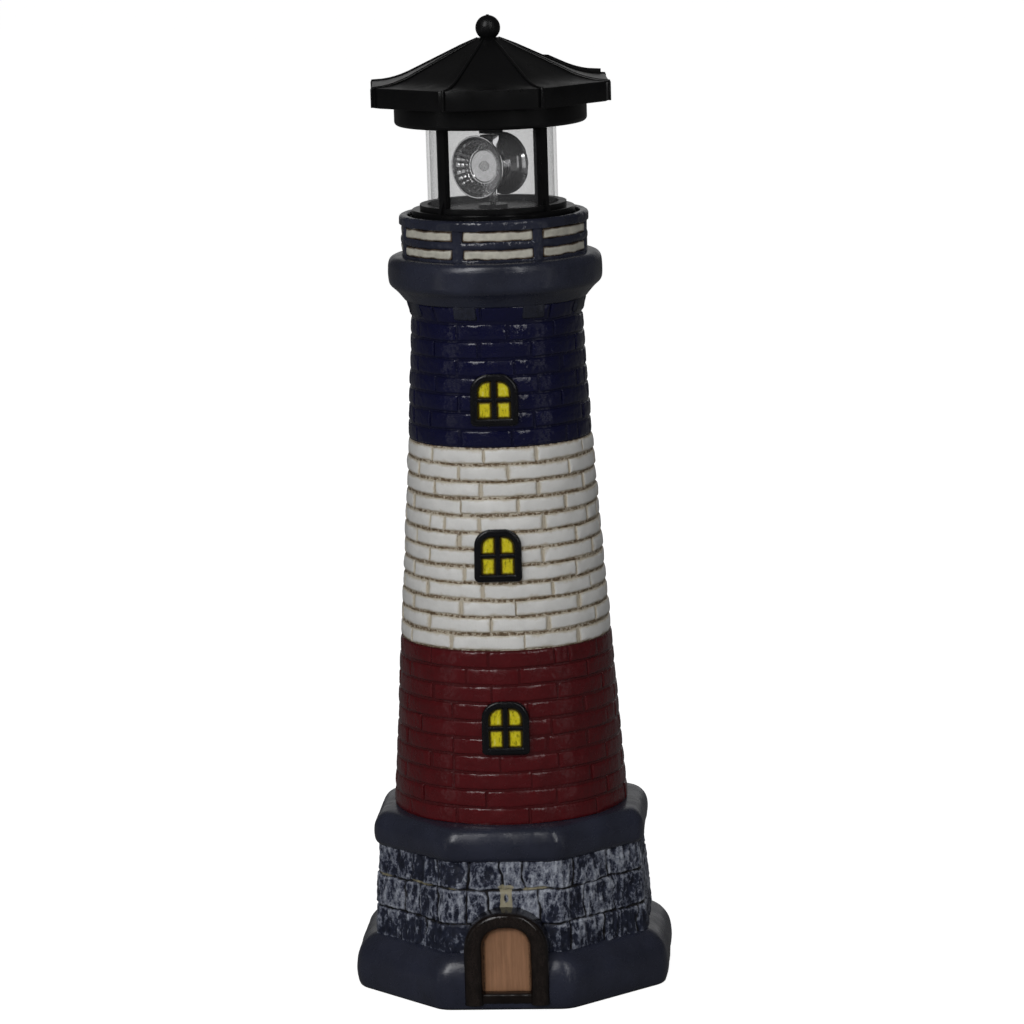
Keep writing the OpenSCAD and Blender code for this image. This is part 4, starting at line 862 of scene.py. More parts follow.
def brick_band(s, name, body_levels, window, paint, courses, seed, flare, depth, uneven, joint):
    low, high = body_levels
    foot_r, head_r = tower_radius(low), tower_radius(min(high, WAIST))
    lean = (head_r - foot_r) / (min(high, WAIST) - low)
    tall = (high - low) / courses
    length = math.tau * foot_r / s.bricks
    side = length / 2 - joint / 2
    brick = brick_mesh("brick", [(-side, side)], tall - joint, depth, paint)
    cut = side * 0.35
    split = brick_mesh("split_brick", [(-side, -cut - joint / 2), (-cut + joint / 2, side)], tall - joint,
                       depth, paint)
    _, azimuth, middle, height = window
    walls = grown(name, brick, named_tree("Bricks round a cone", brick_tree), Split_brick=split,
                  Courses=courses, Bricks=s.bricks, Course_height=tall * MM, Foot_height=low * MM,
                  Foot_radius=(foot_r - 0.12) * MM, Lean=lean, Waist_height=WAIST * MM, Flare=flare,
                  First_joint=s.first_joint, Shift=s.shift, Unevenness=uneven * MM, Wander=s.wander,
                  Seed=seed, Window_azimuth=math.radians(azimuth), Window_height=middle * MM,
                  Window_half_width=BED_HALF * MM, Window_half_height=(height / 2 - BED_TRIM) * MM,
                  Finish=paint)
    bpy.data.objects.remove(split)
    walls.data.set_sharp_from_angle(angle=math.radians(60))
    levels = np.arange(low, high + 0.1, (high - low) / (courses * 4))
    face = np.where(levels > WAIST, tower_radius(WAIST) + lean * (levels - WAIST) + flare * (levels - WAIST),
                    tower_radius(levels))
    columns = 360
    az = azimuths(columns)[None, :]
    wall = (face - depth - 0.15)[:, None] + np.zeros((1, columns))
    off = (az + math.pi - math.radians(azimuth)) % math.tau - math.pi
    behind = ((np.abs(off) * face[:, None] < BED_HALF)
              & (np.abs(levels[:, None] - middle) < height / 2 - BED_TRIM))
    wall = wall - 2.4 * behind
    inner = max(min(face) - 7.5, NECK)
    rows = np.vstack([wall, np.full((2, columns), inner)])
    heights = np.concatenate([levels, [high, low]])
    bedded = np.where(np.arange(len(rows)) % 4 == 0, 1.0, 0.62)[:, None]
    core = skin("core", around(az, rows, heights[:, None]), paint, ring=True,
                values={"hollow": bedded + np.zeros(rows.shape), "tint": np.full(rows.shape, 0.5)})
    return joined(name, [walls, core])


def brick_paint(name, colour, rough):
    """Brush paint on bricks, with a tint of its own on each brick."""
    material = painted(name, colour, spread=0.12, rough=rough, wash_and_shade=shades(colour, 0.3)[0], grain=0.06,
                       gloss=0.52, lump_size=10, dents=0.5)
    t = Tree(material.node_tree)
    shader = material.node_tree.nodes["Principled BSDF"]
    tone = shader.inputs["Base Color"].links[0].from_socket
    t.feed(shader.inputs["Base Color"], t.mix(t.times(t.value("tint"), 0.22), tone, shades(colour, 0.35)[0]))
    return material


class LIGHTHOUSE_OT_brick_tower(bpy.types.Operator):
    """Lays the three bands of painted bricks"""

    bl_idname = "lighthouse.brick_tower"
    bl_label = "Brick tower"

    def execute(self, context):
        s = context.scene.lighthouse_brick
        red_paint = brick_paint("Red paint", tuple(s.red), (0.16, 0.32))
        white_paint = self.white_paint(tuple(s.white), tuple(s.wash_and_shade))
        navy_paint = brick_paint("Navy paint", tuple(s.navy), (0.12, 0.28))
        bands = (("red", (RED_FOOT, WHITE_FOOT), red_paint, 10, 0.0, 0.7, 1.2, 1.1),
                 ("white", (WHITE_FOOT, NAVY_FOOT), white_paint, 12, 0.0, 1.0, 1.6, 1.5),
                 ("navy", (NAVY_FOOT, GALLERY_FOOT), navy_paint, 8, 0.35, 0.7, 1.2, 1.1))
        for order, (name, levels, paint, courses, flare, depth, uneven, joint) in enumerate(bands):
            band = brick_band(s, name + "_bricks", levels, WINDOWS[order], paint, courses, s.seed + order,
                              flare, s.depth * depth, s.uneven * uneven, s.joint * joint)
            place(band, "ornament", name + "_paint", name + "_tower")
        return {"FINISHED"}

    def white_paint(self, white, brown):
        """Flat white with a cream wash beside the joints and broken brown lines in them."""
        material, t, shader = finish("White paint")
        dark, light = shades(white, 0.07)
        tone = t.ramp(t.noise(12, detail=6, rough=0.6), ((0.3, dark), (0.5, white), (0.7, light)))
        tone = t.mix(t.times(t.value("tint"), 0.16), tone, shades(white, 0.3)[0])
        hollow = t.value("hollow")
        cream = t.plus(hollow, t.times(t.noise(6, detail=6, rough=0.7, seed=6), 0.9))
        tone = t.mix(t.ramp(cream, ((0.62, 0.0), (1.3, 0.75))), tone, (0.50, 0.42, 0.29))
        broken = t.times(hollow, t.times(t.noise(1.9, detail=5, rough=0.7, seed=7), 1.22))
        broken = t.share(t.noise(14, detail=2, seed=11), 0.24, broken)
        tone = t.mix(t.ramp(broken, ((0.60, 0.0), (0.71, 0.9))), tone, brown)
        tone = t.mix(t.ramp(broken, ((0.77, 0.0), (0.86, 0.8))), tone, shades(brown, 0.65)[0])
        fine = t.plus(t.noise(0.9, stretch=(1, 1, 3), detail=6, rough=0.65, seed=3), t.noise(5, seed=4))
        dress(t, shader, tone, t.ramp(t.noise(9, detail=4, seed=9), ((0.3, 0.34), (0.7, 0.5))),
              t.bump(fine, 0.2))
        return material


# ---------------------------------------------------------------- gallery

GALLERY_PROFILE = ((49.0, 384.9), (50.6, 385.3), (51.8, 386.6), (53.4, 388.6), (55.6, 391.0), (58.2, 393.4),
                   (59.2, 395.4), (59.45, 398.5), (59.45, 403.0), (59.2, 405.8), (58.2, 408.2), (56.2, 409.6),
                   (53.0, 410.0))


class LIGHTHOUSE_OT_gallery(bpy.types.Operator):
    """Builds the gallery ring with its corbels, the railing and its light panels"""

    bl_idname = "lighthouse.gallery"
    bl_label = "Gallery"

    def execute(self, context):
        s = context.scene.lighthouse_stone
        slate = slate_paint(s)
        outer = curve_through(GALLERY_PROFILE, 1.0)
        profile = np.vstack([outer, [(NECK + 2, DECK), (NECK, DECK - 0.4), (NECK, GALLERY_FOOT),
                                     (NECK + 0.5, GALLERY_FOOT - 0.5)]])
        az = azimuths(288)[None, :]
        free = np.zeros((len(profile), 1))
        free[:len(outer)] = ease(0, 4, np.arange(len(outer)))[:, None]
        points = around(az, profile[:, :1], profile[:, 1:])
        push = 0.3 * lump(points, 14, 40) + 0.12 * lump(points, 5, 41) - 0.2
        points = around(az, profile[:, :1] + push * free, profile[:, 1:])
        # hollow is 1 on the ring's lowest rows, its underside, where the slate paint puts painted shade.
        body = skin("gallery_ring", points, slate, ring=True, values={"hollow": 1 - free * np.ones((1, 288))})
        ring = named_tree("Pieces round the axis", ring_tree)
        block = rounded_outline(-6.5, 6.5, 378.0, 391.0, 1.4, 1.4, 6)
        loops = []
        for y, d in ((44.5, 0.0), (49.7, 0.0), (50.7, 0.3), (51.1, 1.0)):
            flat = shrink(block, d)
            lean = np.interp(flat[:, 1], (378, 384.5), (0.72, 1.0))
            loops.append(at_depth(flat, -44.5 - (y - 44.5) * lean))
        # Each corbel has hollow 0.62 all over, so the slate paint darkens the whole corbel as painted shade
        # under the gallery.
        corbel = skin("corbel", loops, slate, values={"hollow": np.full((4, len(block)), 0.62)})
        corbels = grown("corbels", corbel, ring, Count=8, First_azimuth=HALF_SIDE + CORBEL_TURN,
                        Unevenness=0.9 * MM, Lump_size=9 * MM, Seed=3, Finish=slate)
        place(joined("gallery_ring", [body, corbels]), "ornament", "slate_paint", "gallery")
        # The near-black colour in the recesses is painted shade.
        glossy = painted("Rail paint", tuple(s.slate), spread=0.25, rough=(0.14, 0.24),
                         wash_and_shade=(0.007, 0.007, 0.009), wash_and_shade_reach=(0.5, 0.9), grain=0.05, gloss=0.5,
                         lump_size=22, dents=0.8)
        place(self.railing(glossy), "ornament", "slate_paint", "railing")
        cream = painted("Cream paint", (0.60, 0.58, 0.50), spread=0.14, rough=(0.35, 0.5),
                        wash_and_shade=(0.085, 0.055, 0.032), wash_and_shade_reach=(0.42, 0.9), grain=0.08, lump_size=4)
        rows = []
        half = RAIL_RADIUS * math.pi / BAYS - 3.15
        on_rail = lambda flat, r: around(flat[:, 0] / RAIL_RADIUS, r, flat[:, 1])
        steps = ((0, 49.4, 1.0), (0, 50.9, 1.0), (0.5, 51.25, 0.75), (1.4, 51.35, 0.1), (2.3, 51.35, 0.0))
        for name, low, high in (("lower_panel", 411.5, 416.7), ("upper_panel", 421.3, 426.6)):
            outline = densely(rounded_outline(-half, half, low, high, 1.1, 1.1, 6), 1.6)
            panel = stepped_plate(name, outline, steps, on_rail, cream)
            rows.append(grown(name, panel, ring, Count=BAYS, First_azimuth=BAY_TURN, Unevenness=2.0 * MM,
                              Lump_size=7 * MM, Seed=9, Finish=cream))
        place(joined("rail_panel_plates", rows), "ornament", "cream_paint", "rail_panels")
        return {"FINISHED"}

    def railing(self, slate):
        columns = 576
        az = azimuths(columns)[None, :]
        z = np.concatenate([np.arange(DECK + 0.05, RIM - 2.0, 0.5),
                            RIM - np.array([2.0, 1.6, 1.2, 0.8, 0.45, 0.2])])[:, None]
        here = around(az, RAIL_RADIUS, z)
        sway = 0.35 * lump(here, (7, 7, 4), 50)
        bay = math.tau / BAYS
        post_off = np.abs((az - BAY_TURN + sway / 40) % bay - bay / 2) * RAIL_RADIUS
        post = 51.95 - 1.3 * ease(2.2, 3.6, post_off)
        level = z + sway
        middle = 50.6 + 1.35 * np.sqrt(np.clip(1 - ((level - 419.0) / 2.35) ** 2, 0, 1))
        foot = 51.6 - 1.2 * ease(411.0, 411.7, level)
        top = 50.6 + 2.05 * ease(426.5, 427.5, level)
        radius = np.maximum.reduce([post, middle, foot, top]) * np.ones((1, columns))
        high = RIM - z
        radius = (radius
                  - np.where(high < 2.0, 2.0 - np.sqrt(np.clip(2.0 ** 2 - (2.0 - high) ** 2, 0, None)), 0))
        radius = radius + 0.14 * lump(here, 3.5, 51) + 0.07 * lump(here, (1.6, 1.6, 4.0), 52) - 0.15
        rim = [(51.0, RIM), (49.2, RIM), (48.0, RIM - 0.3), (47.7, RIM - 0.9), (47.7, LEDGE),
               (NECK + 0.4, LEDGE), (NECK, LEDGE - 0.4), (NECK, DECK)]
        rows = np.vstack([radius, [np.full(columns, r) for r, _ in rim]])
        heights = np.concatenate([z[:, 0], [h for _, h in rim]])[:, None]
        # hollow marks the recesses between the rails and the rim's inside, which the rail paint darkens as
        # painted shade.
        hollow = np.vstack([1 - ease(50.7, 51.4, radius), np.zeros((3, columns)), np.ones((5, columns))])
        return skin("railing_wall", around(az, rows, heights), slate, ring=True, values={"hollow": hollow})


def densely(outline, step):
    """The closed outline with points no further apart than a step."""
    out = []
    for a, b in zip(outline, np.roll(outline, -1, 0)):
        n = max(1, int(np.ceil(np.linalg.norm(b - a) / step)))
        out.append(a + (b - a) * np.arange(n)[:, None] / n)
    return np.vstack(out)


def at_depth(outline, y):
    """The outline in X and Z, stood up at this Y, one for all or one for each point."""
    return np.stack(np.broadcast_arrays(outline[:, 0], y, outline[:, 1]), 1)


def at_height(outline, z):
    """The outline in X and Y, laid at this height."""
    return np.column_stack([outline, np.full(len(outline), float(z))])


def shrink(outline, distance):
    """The outline moved inwards, by scaling each half-extent."""
    low, high = outline.min(0), outline.max(0)
    centre, half = (low + high) / 2, (high - low) / 2
    return centre + (outline - centre) * (half - distance) / half


def stepped_plate(name, outline, steps, stand, material):
    """Plate over an outline that shrinks in steps, each with its inset, its level and how much of the darker
    colour it takes.

    Stand places the shrunk outline at a level."""
    loops = [stand(shrink(outline, inset), level) for inset, level, _ in steps]
    hollow = [np.full(len(outline), soiled_and_shaded) for _, _, soiled_and_shaded in steps]
    return skin(name, loops, material, values={"hollow": hollow})


# ---------------------------------------------------------------- windows and door

def on_wall(points, azimuth, height):
    """Moves points from a window's own place, X and Z on the wall and -Y outwards, to the tower."""
    z = height
    lean = math.atan((tower_radius(z - 10) - tower_radius(z + 10)) / 20)
    tilt = np.array(Matrix.Rotation(-lean, 3, "X"))
    moved = points @ tilt.T + (0, -tower_radius(z), z)
    return turned_about_axis(moved, math.radians(azimuth))


def bar_loops(start, end, half, tops):
    """Loops of a rounded bar on the wall between two points in X and Z."""
    start, end = np.array(start, float), np.array(end, float)
    along = (end - start) / np.linalg.norm(end - start)
    across = np.array([-along[1], along[0]])
    low, high = tops
    a = np.radians(np.linspace(0, 180, 9))
    section = ([(-half, low)] + [(-half * math.cos(t), high - 0.9 + 0.9 * math.sin(t)) for t in a]
               + [(half, low)])
    return np.array([[(*(p + across * u), v) for u, v in section]
                     for p in (start, (start + end) / 2, end)])[:, :, [0, 2, 1]] * (1, -1, 1)


class LIGHTHOUSE_OT_windows(bpy.types.Operator):
    """Builds the three arched windows"""

    bl_idname = "lighthouse.windows"
    bl_label = "Windows"

    def execute(self, context):
        s = context.scene.lighthouse_opening
        black = painted("Window paint", tuple(s.frame), spread=0.3, rough=(0.16, 0.30), grain=0.06,
                        gloss=0.45, lump_size=8)
        yellow = self.pane_paint(tuple(s.pane))
        for order, (name, azimuth, height, tall) in enumerate(WINDOWS):
            frame_piece = self.frame_ring(s, name, tall, black, order)
            self.to_wall(frame_piece, azimuth, height)
            place(frame_piece, "ornament", "window_black", name + "_window_frame")
            panes = self.panes(s, name, tall, yellow)
            self.to_wall(panes, azimuth, height)
            place(panes, "ornament", "window_yellow", name + "_window_panes")
        return {"FINISHED"}

    def pane_paint(self, yellow):
        """Thick yellow brushed unevenly up the panes over a dark ground, with pale flecks."""
        material, t, shader = finish("Pane paint")
        strokes = t.noise(1.5, stretch=(1, 1, 2.4), detail=5, rough=0.68)
        deep, pale = shades(yellow, 0.62)[0], (0.88, 0.82, 0.16)
        tone = t.ramp(strokes, ((0.34, deep), (0.47, yellow), (0.58, yellow), (0.68, pale)))
        tone = t.soiled_and_shaded(tone, (0.075, 0.045, 0.006), "hollow", t.noise(1.6, detail=4, seed=6), 0.55,
                        (0.25, 0.8))
        dress(t, shader, tone, t.ramp(strokes, ((0.3, 0.25), (0.7, 0.4))), t.bump(strokes, 0.25), gloss=0.25)
        return material

    def to_wall(self, piece, azimuth, height):
        co = np.zeros(len(piece.data.vertices) * 3)
        piece.data.vertices.foreach_get("co", co)
        moved = on_wall(co.reshape(-1, 3) / MM, azimuth, height) * MM
        piece.data.vertices.foreach_set("co", moved.ravel())
        piece.data.update()

    def frame_ring(self, s, name, tall, black, order):
        half, low, high = s.width / 2, -tall / 2, tall / 2
        loops = []
        for d, stand in ((0, -4.0), (0, 1.3), (0.25, 1.9), (0.8, 2.25), (1.8, 2.4), (s.border - 1.2, 2.35),
                         (s.border - 0.4, 2.0), (s.border, 1.2), (s.border, -1.2), (s.border - 1, -4.0)):
            flat = rounded_outline(-half + d, half - d, low + d, high - d, max(2.8 - d, 0.4),
                                   max(s.shoulder - d, 1), 12)
            wobble = [lump(at_height(flat, 0), 5, seed + order) for seed in (60, 70)]
            flat = flat + 0.22 * np.stack(wobble, 1)
            loops.append(at_depth(flat, -stand))
        ring_piece = skin(name + "_frame", loops, black, ring=True, sharp=60)
        inner = s.border - 0.8
        level = low + 3.9 + (tall - 7.9) / 2
        upright = skin("mullion", bar_loops((0, low + inner), (0, high - inner), s.bar / 2, (-2.0, 2.0)),
                       black, sharp=60)
        cross = skin("bar",
                     bar_loops((-half + inner, level), (half - inner, level), s.bar / 2 - 0.35, (-2.0, 1.8)),
                     black, sharp=60)
        return joined(name + "_frame", [ring_piece, upright, cross])

    def panes(self, s, name, tall, yellow):
        half, low, high = s.width / 2 - s.border, -tall / 2 + s.border - 0.2, tall / 2 - s.border
        level = (low + high) / 2
        on_face = lambda flat, stand: at_depth(flat, -stand)
        steps = ((-0.3, -1.3, 1), (-0.3, -0.2, 1), (0.25, 0.15, 0.95), (0.9, 0.3, 0.55), (1.8, 0.35, 0.1),
                 (2.8, 0.35, 0.0))
        arch = s.shoulder - s.border
        parts = []
        for x0, x1, upper_round in ((-half, -s.bar / 2, (arch, 0.7)), (s.bar / 2, half, (0.7, arch))):
            for z0, z1, tops in ((low, level - 1.0, 0.7), (level + 1.0, high, upper_round)):
                outline = densely(rounded_outline(x0, x1, z0, z1, 0.7, tops, 7), 0.8)
                parts.append(stepped_plate("pane", outline, steps, on_face, yellow))
        return joined(name + "_panes", parts)


class LIGHTHOUSE_OT_door(bpy.types.Operator):
    """Builds the door and its half-round surround"""

    bl_idname = "lighthouse.door"
    bl_label = "Door"

    def execute(self, context):
        s = context.scene.lighthouse_opening
        # The near-black colour put in the hollows is painted shade on the sides of the surround.
        brown = painted("Surround paint", tuple(s.surround), spread=0.4, rough=(0.13, 0.24),
                        brushed=(0.030, 0.022, 0.019), brush_reach=(0.75, 1.1), wash_and_shade=(0.0022, 0.0015, 0.0012),
                        wash_and_shade_reach=(0.2, 0.7), grain=0.07, gloss=0.45, lump_size=9, dents=0.12)
        reach, tall = 18.2, 17.5
        legs = np.arange(3.7, DOOR_ARCH, 1.5)
        swing = np.radians(np.linspace(180, 0, 31))
        full = lambda v: math.copysign(abs(v) ** 0.86, v)
        path = ([(-reach, z, 0.0) for z in legs]
                + [(reach * full(math.cos(a)), DOOR_ARCH + tall * full(math.sin(a)), math.pi - a)
                   for a in swing]
                + [(reach, z, math.pi) for z in legs[::-1]])
        a = np.radians(np.linspace(0, 180, 21))
        section = np.stack([-5.3 * np.sign(np.cos(a)) * np.abs(np.cos(a)) ** 0.75,
                            15.5 + 5.0 * np.sin(a) ** 0.75], 1)
        section = np.vstack([[(-5.3, 0.5), (-5.3, 8.0)], section, [(5.3, 8.0), (5.3, 0.5)]])
        loops = []
        for x, z, bend in path:
            half = section[:, 0] * (1 - 0.14 * math.sin(bend))
            loops.append(np.stack([DOOR_SHIFT + x + half * math.cos(bend), -70 - section[:, 1],
                                   z - half * math.sin(bend)], 1))
        loops = np.array(loops)
        centre = np.array([(DOOR_SHIFT + x, 0, z) for x, z, _ in path])[:, None, :]
        push = 0.25 * lump(loops, 9, 80) + 0.1 * lump(loops, 3.5, 81) - 0.1
        away = (loops - centre) * (1, 0, 1)
        away /= np.maximum(np.linalg.norm(away, axis=2, keepdims=True), 1e-6)
        loops = loops + away * push[..., None] * 0.6
        height = np.clip((-loops[..., 1] - 84) / 7, 0, 1)
        # hollow rises towards the back of the tube, so the surround's sides, back towards the wall, get painted
        # shade.
        tube = skin("surround_tube", loops, brown,
                    values={"height": height, "hollow": np.clip((-84.5 - loops[..., 1]) / -3, 0, 1)})
        outline = rounded_outline(3.6, 9.9, -88.2, -72.0, 2.4, 0.5, 6)
        bar = [np.stack([np.full(len(outline), DOOR_SHIFT + x), outline[:, 1] + 0.25 * math.sin(x),
                         outline[:, 0]], 1)
               for x in np.linspace(-15.5, 15.5, 13)]
        sill = skin("threshold", bar, brown,
                    values={"height": np.full((13, len(outline)), 0.6),
                            "hollow": np.zeros((13, len(outline)))})
        place(joined("door_moulding", [tube, sill]), "ornament", "door_brown", "door_surround")
        tan = self.door_paint(tuple(s.door))
        outline = densely(rounded_outline(DOOR_SHIFT - 13.4, DOOR_SHIFT + 13.4, 9.0, 47.6, 0.6, 12.6, 16),
                          1.2)
        steps = ((0, 71.0, 1), (0, 82.3, 1), (0.8, 82.9, 0.8), (2.5, 83.1, 0.25), (5.0, 83.15, 0),
                 (8.0, 83.15, 0), (11.0, 83.15, 0))
        grooved = lambda flat, y: at_depth(flat, 0.12 * lump(at_height(flat, 0), (2.0, 9, 1), 85) - y)
        panel = stepped_plate("door_plate", outline, steps, grooved, tan)
        place(panel, "ornament", "door_tan", "door_panel")
        return {"FINISHED"}

    def door_paint(self, colour):
        """Tan paint brushed upwards, with the streaks of wood grain."""
        material, t, shader = finish("Door paint")
        dark, light = shades(colour, 0.22)
        grain = t.noise(1.6, stretch=(1, 1, 14), detail=5, rough=0.6)
        patch = t.noise(9, stretch=(1, 1, 2), detail=3, seed=3)
        tone = t.ramp(t.plus(t.times(grain, 0.6), t.times(patch, 0.4)),
                      ((0.36, dark), (0.5, colour), (0.64, light)))
        tone = t.soiled_and_shaded(tone, (0.08, 0.045, 0.025), "hollow", t.noise(2, detail=4, seed=6), 0.4, (0.45, 0.9))
        dress(t, shader, tone, t.ramp(patch, ((0.3, 0.42), (0.7, 0.6))), t.bump(grain, 0.12))
        return material


# ---------------------------------------------------------------- lamp head

def roof_height(r):
    """Height of a ridge of the roof at its distance from the axis."""
    slope, start, corner = 0.457, 46.4, 70.2
    bend = EAVE + slope * (corner - start) / 2
    past = np.maximum(r - start, 0)
    return np.where(r <= start, bend + slope * (start - r),
                    bend - slope * past + slope * past ** 2 / (2 * (corner - start)))


class LIGHTHOUSE_OT_roof(bpy.types.Operator):
    """Builds the octagonal roof with its ridges, the ball on top and the solar panel's finish"""

    bl_idname = "lighthouse.roof"
    bl_label = "Roof"

    def execute(self, context):
        s = context.scene.lighthouse_lamp
        black = black_plastic(s)
        cap = 6.6
        seat_z = float(roof_height(8.3))
        rise = np.concatenate([[cap, 9.5], np.arange(14, 70, 3.5), [69.6]])
        profile = ([(0, roof_height(cap))] + [(cap - 0.5, roof_height(cap) + 0.02)]
                   + [(r, float(roof_height(r))) for r in rise])
        profile += [(70.0, EAVE - 0.15), (70.2, EAVE - 0.6), (70.2, FASCIA + 0.5), (70.05, FASCIA + 0.12),
                    (69.7, FASCIA), (68.2, FASCIA), (67.9, FASCIA + 0.3), (67.8, roof_height(67.8) - 2.2)]
        profile += ([(r, float(roof_height(r)) - 2.2) for r in (60, 53, 46.4, 30, cap)]
                    + [(0, roof_height(cap) - 2.2)])
        profile = np.array(profile)
        steps = (np.array([0, 0.012, 0.03, 0.06, 0.12, 0.3, 0.6, 0.9, 1.2, 1.5, 1.7, 1.88, 1.94, 1.97, 1.988])
                 * HALF_SIDE - HALF_SIDE)
        az = np.concatenate([steps + 2 * HALF_SIDE * k + 2 * HALF_SIDE for k in range(8)]) - HALF_SIDE
        radius = np.stack([octagon(az, r, min(1.0, 0.3 * r + 1e-4)) for r, _ in profile])
        shell = skin("roof_shell", around(az[None, :], radius, profile[:, 1:]), black, caps=False, sharp=25,
                     turn=HEAD_TURN)
        ridge_r = np.concatenate([[6.4, 8.5, 11], np.arange(16, 68, 4), [69.0, 69.9]])
        path = ([(r, float(roof_height(r)) + 0.05) for r in ridge_r]
                + [(70.15, EAVE - 0.8), (70.15, FASCIA + 5), (70.15, FASCIA + 0.35)])
        a = np.radians(np.arange(0, 360, 36))
        loops = []
        path = np.array(path)
        for i, (r, z) in enumerate(path):
            ahead, behind = path[min(i + 1, len(path) - 1)], path[max(i - 1, 0)]
            dr, dz = (ahead - behind) / np.linalg.norm(ahead - behind)
            size = min(0.75, 0.22 + (r - 6.4) / 16)
            side, up = size * 1.15 * np.cos(a), size * np.sin(a)
            loops.append(np.stack([side, -(r - up * dz), z + up * dr], 1))
        bead = skin("ridge_bead", loops, black)
        beads = grown("ridge_beads", bead, named_tree("Pieces round the axis", ring_tree), Count=8,
                      First_azimuth=HALF_SIDE + HEAD_TURN, Unevenness=0.0, Lump_size=10 * MM, Seed=1,
                      Finish=black)
        place(joined("roof_shell", [shell, beads]), "lamp_head", "black_plastic", "roof")
        ball_z = seat_z + 6.3
        turn = np.radians(np.linspace(-66, 80, 22))
        profile = ([(0, ball_z - 9), (4.3, ball_z - 9), (4.4, ball_z - 6.9), (4.0, ball_z - 6.4)]
                   + [(6.85 * math.cos(t), ball_z + 6.85 * math.sin(t)) for t in turn[2:]]
                   + [(0.9, ball_z + 6.9), (0.7, ball_z + 7.2), (0, ball_z + 7.28)])
        ball = turned_body("roof_ball", profile, black, columns=48, caps=False)
        place(ball, "lamp_head", "black_plastic", "finial")
        finish_node("panel_frame", black)
        finish_node("solar_panel", self.solar_finish())
        return {"FINISHED"}

    def solar_finish(self):
        """Dark blue cells with thin silver lines under a clear laminate."""
        material, t, shader = finish("Solar cells")
        place_at = t.node("ShaderNodeTexCoord").outputs["Object"]
        flat = t.node("ShaderNodeMapping", place_at,
                      in_Rotation=(0, 0, -math.radians(45) - HEAD_TURN)).outputs[0]
        x = t.node("ShaderNodeSeparateXYZ", flat).outputs
        lines = t.math("LESS_THAN", t.math("ABSOLUTE", t.less(t.math("FRACT", t.over(x[1], 0.0065)), 0.5)),
                       0.03)
        fingers = t.math("LESS_THAN", t.math("ABSOLUTE", t.less(t.math("FRACT", t.over(x[0], 0.0022)), 0.5)),
                         0.06)
        cell = t.ramp(t.noise(5, detail=5), ((0.35, (0.004, 0.006, 0.02)), (0.65, (0.010, 0.016, 0.05))))
        tone = t.mix(t.times(fingers, 0.35), cell, (0.10, 0.12, 0.18))
        dress(t, shader, t.mix(lines, tone, (0.45, 0.46, 0.5)),
              t.ramp(t.noise(8, seed=4), ((0.3, 0.12), (0.7, 0.22))))
        shader.inputs["Coat Weight"].default_value = 0.6
        return material


def black_plastic(s):
    return (bpy.data.materials.get("Black plastic")
            or moulded("Black plastic", tuple(s.black), rough=0.32, grain=0.015, spread=0.25, gloss=0.3))


def finish_node(node, material):
    """Gives a CAD node that stays its own finish."""
    obj = frame["nodes"][node]
    obj.data.materials.clear()
    obj.data.materials.append(material)


class LIGHTHOUSE_OT_lantern(bpy.types.Operator):
    """Finishes the drum, the posts, the tray, the glass and what is inside the cup"""

    bl_idname = "lighthouse.lantern"
    bl_label = "Lantern"

    def execute(self, context):
        s = context.scene.lighthouse_lamp
        black = black_plastic(s)
        inner = moulded("Inner plastic", (0.03, 0.03, 0.032), rough=0.55, grain=0.03)
        pale = moulded("Pale plastic", (0.62, 0.60, 0.55), rough=0.5)
        steel = bare_metal("Steel", (0.56, 0.56, 0.55), rough=0.3, stretch=(1, 1, 4))
        brass = bare_metal("Brass", (0.62, 0.46, 0.20), rough=0.28)
        rubber = moulded("Seal rubber", (0.02, 0.02, 0.02), rough=0.8, grain=0.05)
        board = moulded("Board lacquer", (0.012, 0.09, 0.03), rough=0.35, spread=0.3)
        sleeve = moulded("Cell sleeve", (0.03, 0.20, 0.08), rough=0.3)
        lead = moulded("Lead insulation", (0.35, 0.015, 0.015), rough=0.45)
        polished = moulded("Polished black", tuple(s.black), rough=0.22, grain=0.01, spread=0.2, gloss=0.14)
        for material, nodes in ((black, ("lamp_housing", "lamp_cage")), (polished, ("lamp_tray",)),
                                (inner, ("lamp_cup", "battery_door", "switch_knob", "switch_body")),
                                (pale, ("gear_deck", "drive_gear", "idler_gear")),
                                (steel, ("drive_motor", "battery_contacts", "door_hinge_pin", "idler_pin",
                                         "roof_screws", "cage_screws", "cup_screws", "deck_screws",
                                         "beacon_shaft")),
                                (brass, ("brush_contacts", "slip_rings", "motor_pinion")),
                                (rubber, ("seat_ring",)), (board, ("circuit_board",)),
                                (sleeve, ("battery_cell",)), (lead, ("panel_lead",)),
                                (self.glass(), ("glass_tube",))):
            for node in nodes:
                finish_node(node, material)
        return {"FINISHED"}

    def glass(self):
        """Thin grey tube, clearest where it is looked through squarely."""
        material, t, shader = finish("Clear tube")
        slant = t.node("ShaderNodeLayerWeight", 0.35).outputs["Facing"]
        haze = t.noise(25, stretch=(1, 1, 3), detail=3)
        dress(t, shader, t.ramp(haze, ((0.3, (0.16, 0.16, 0.165)), (0.7, (0.20, 0.20, 0.205)))),
              t.ramp(haze, ((0.3, 0.02), (0.75, 0.05))))
        t.feed(shader.inputs["Alpha"], t.ramp(slant, ((0.0, 0.16), (0.45, 0.19), (0.75, 0.30), (1.0, 0.45))))
        return material


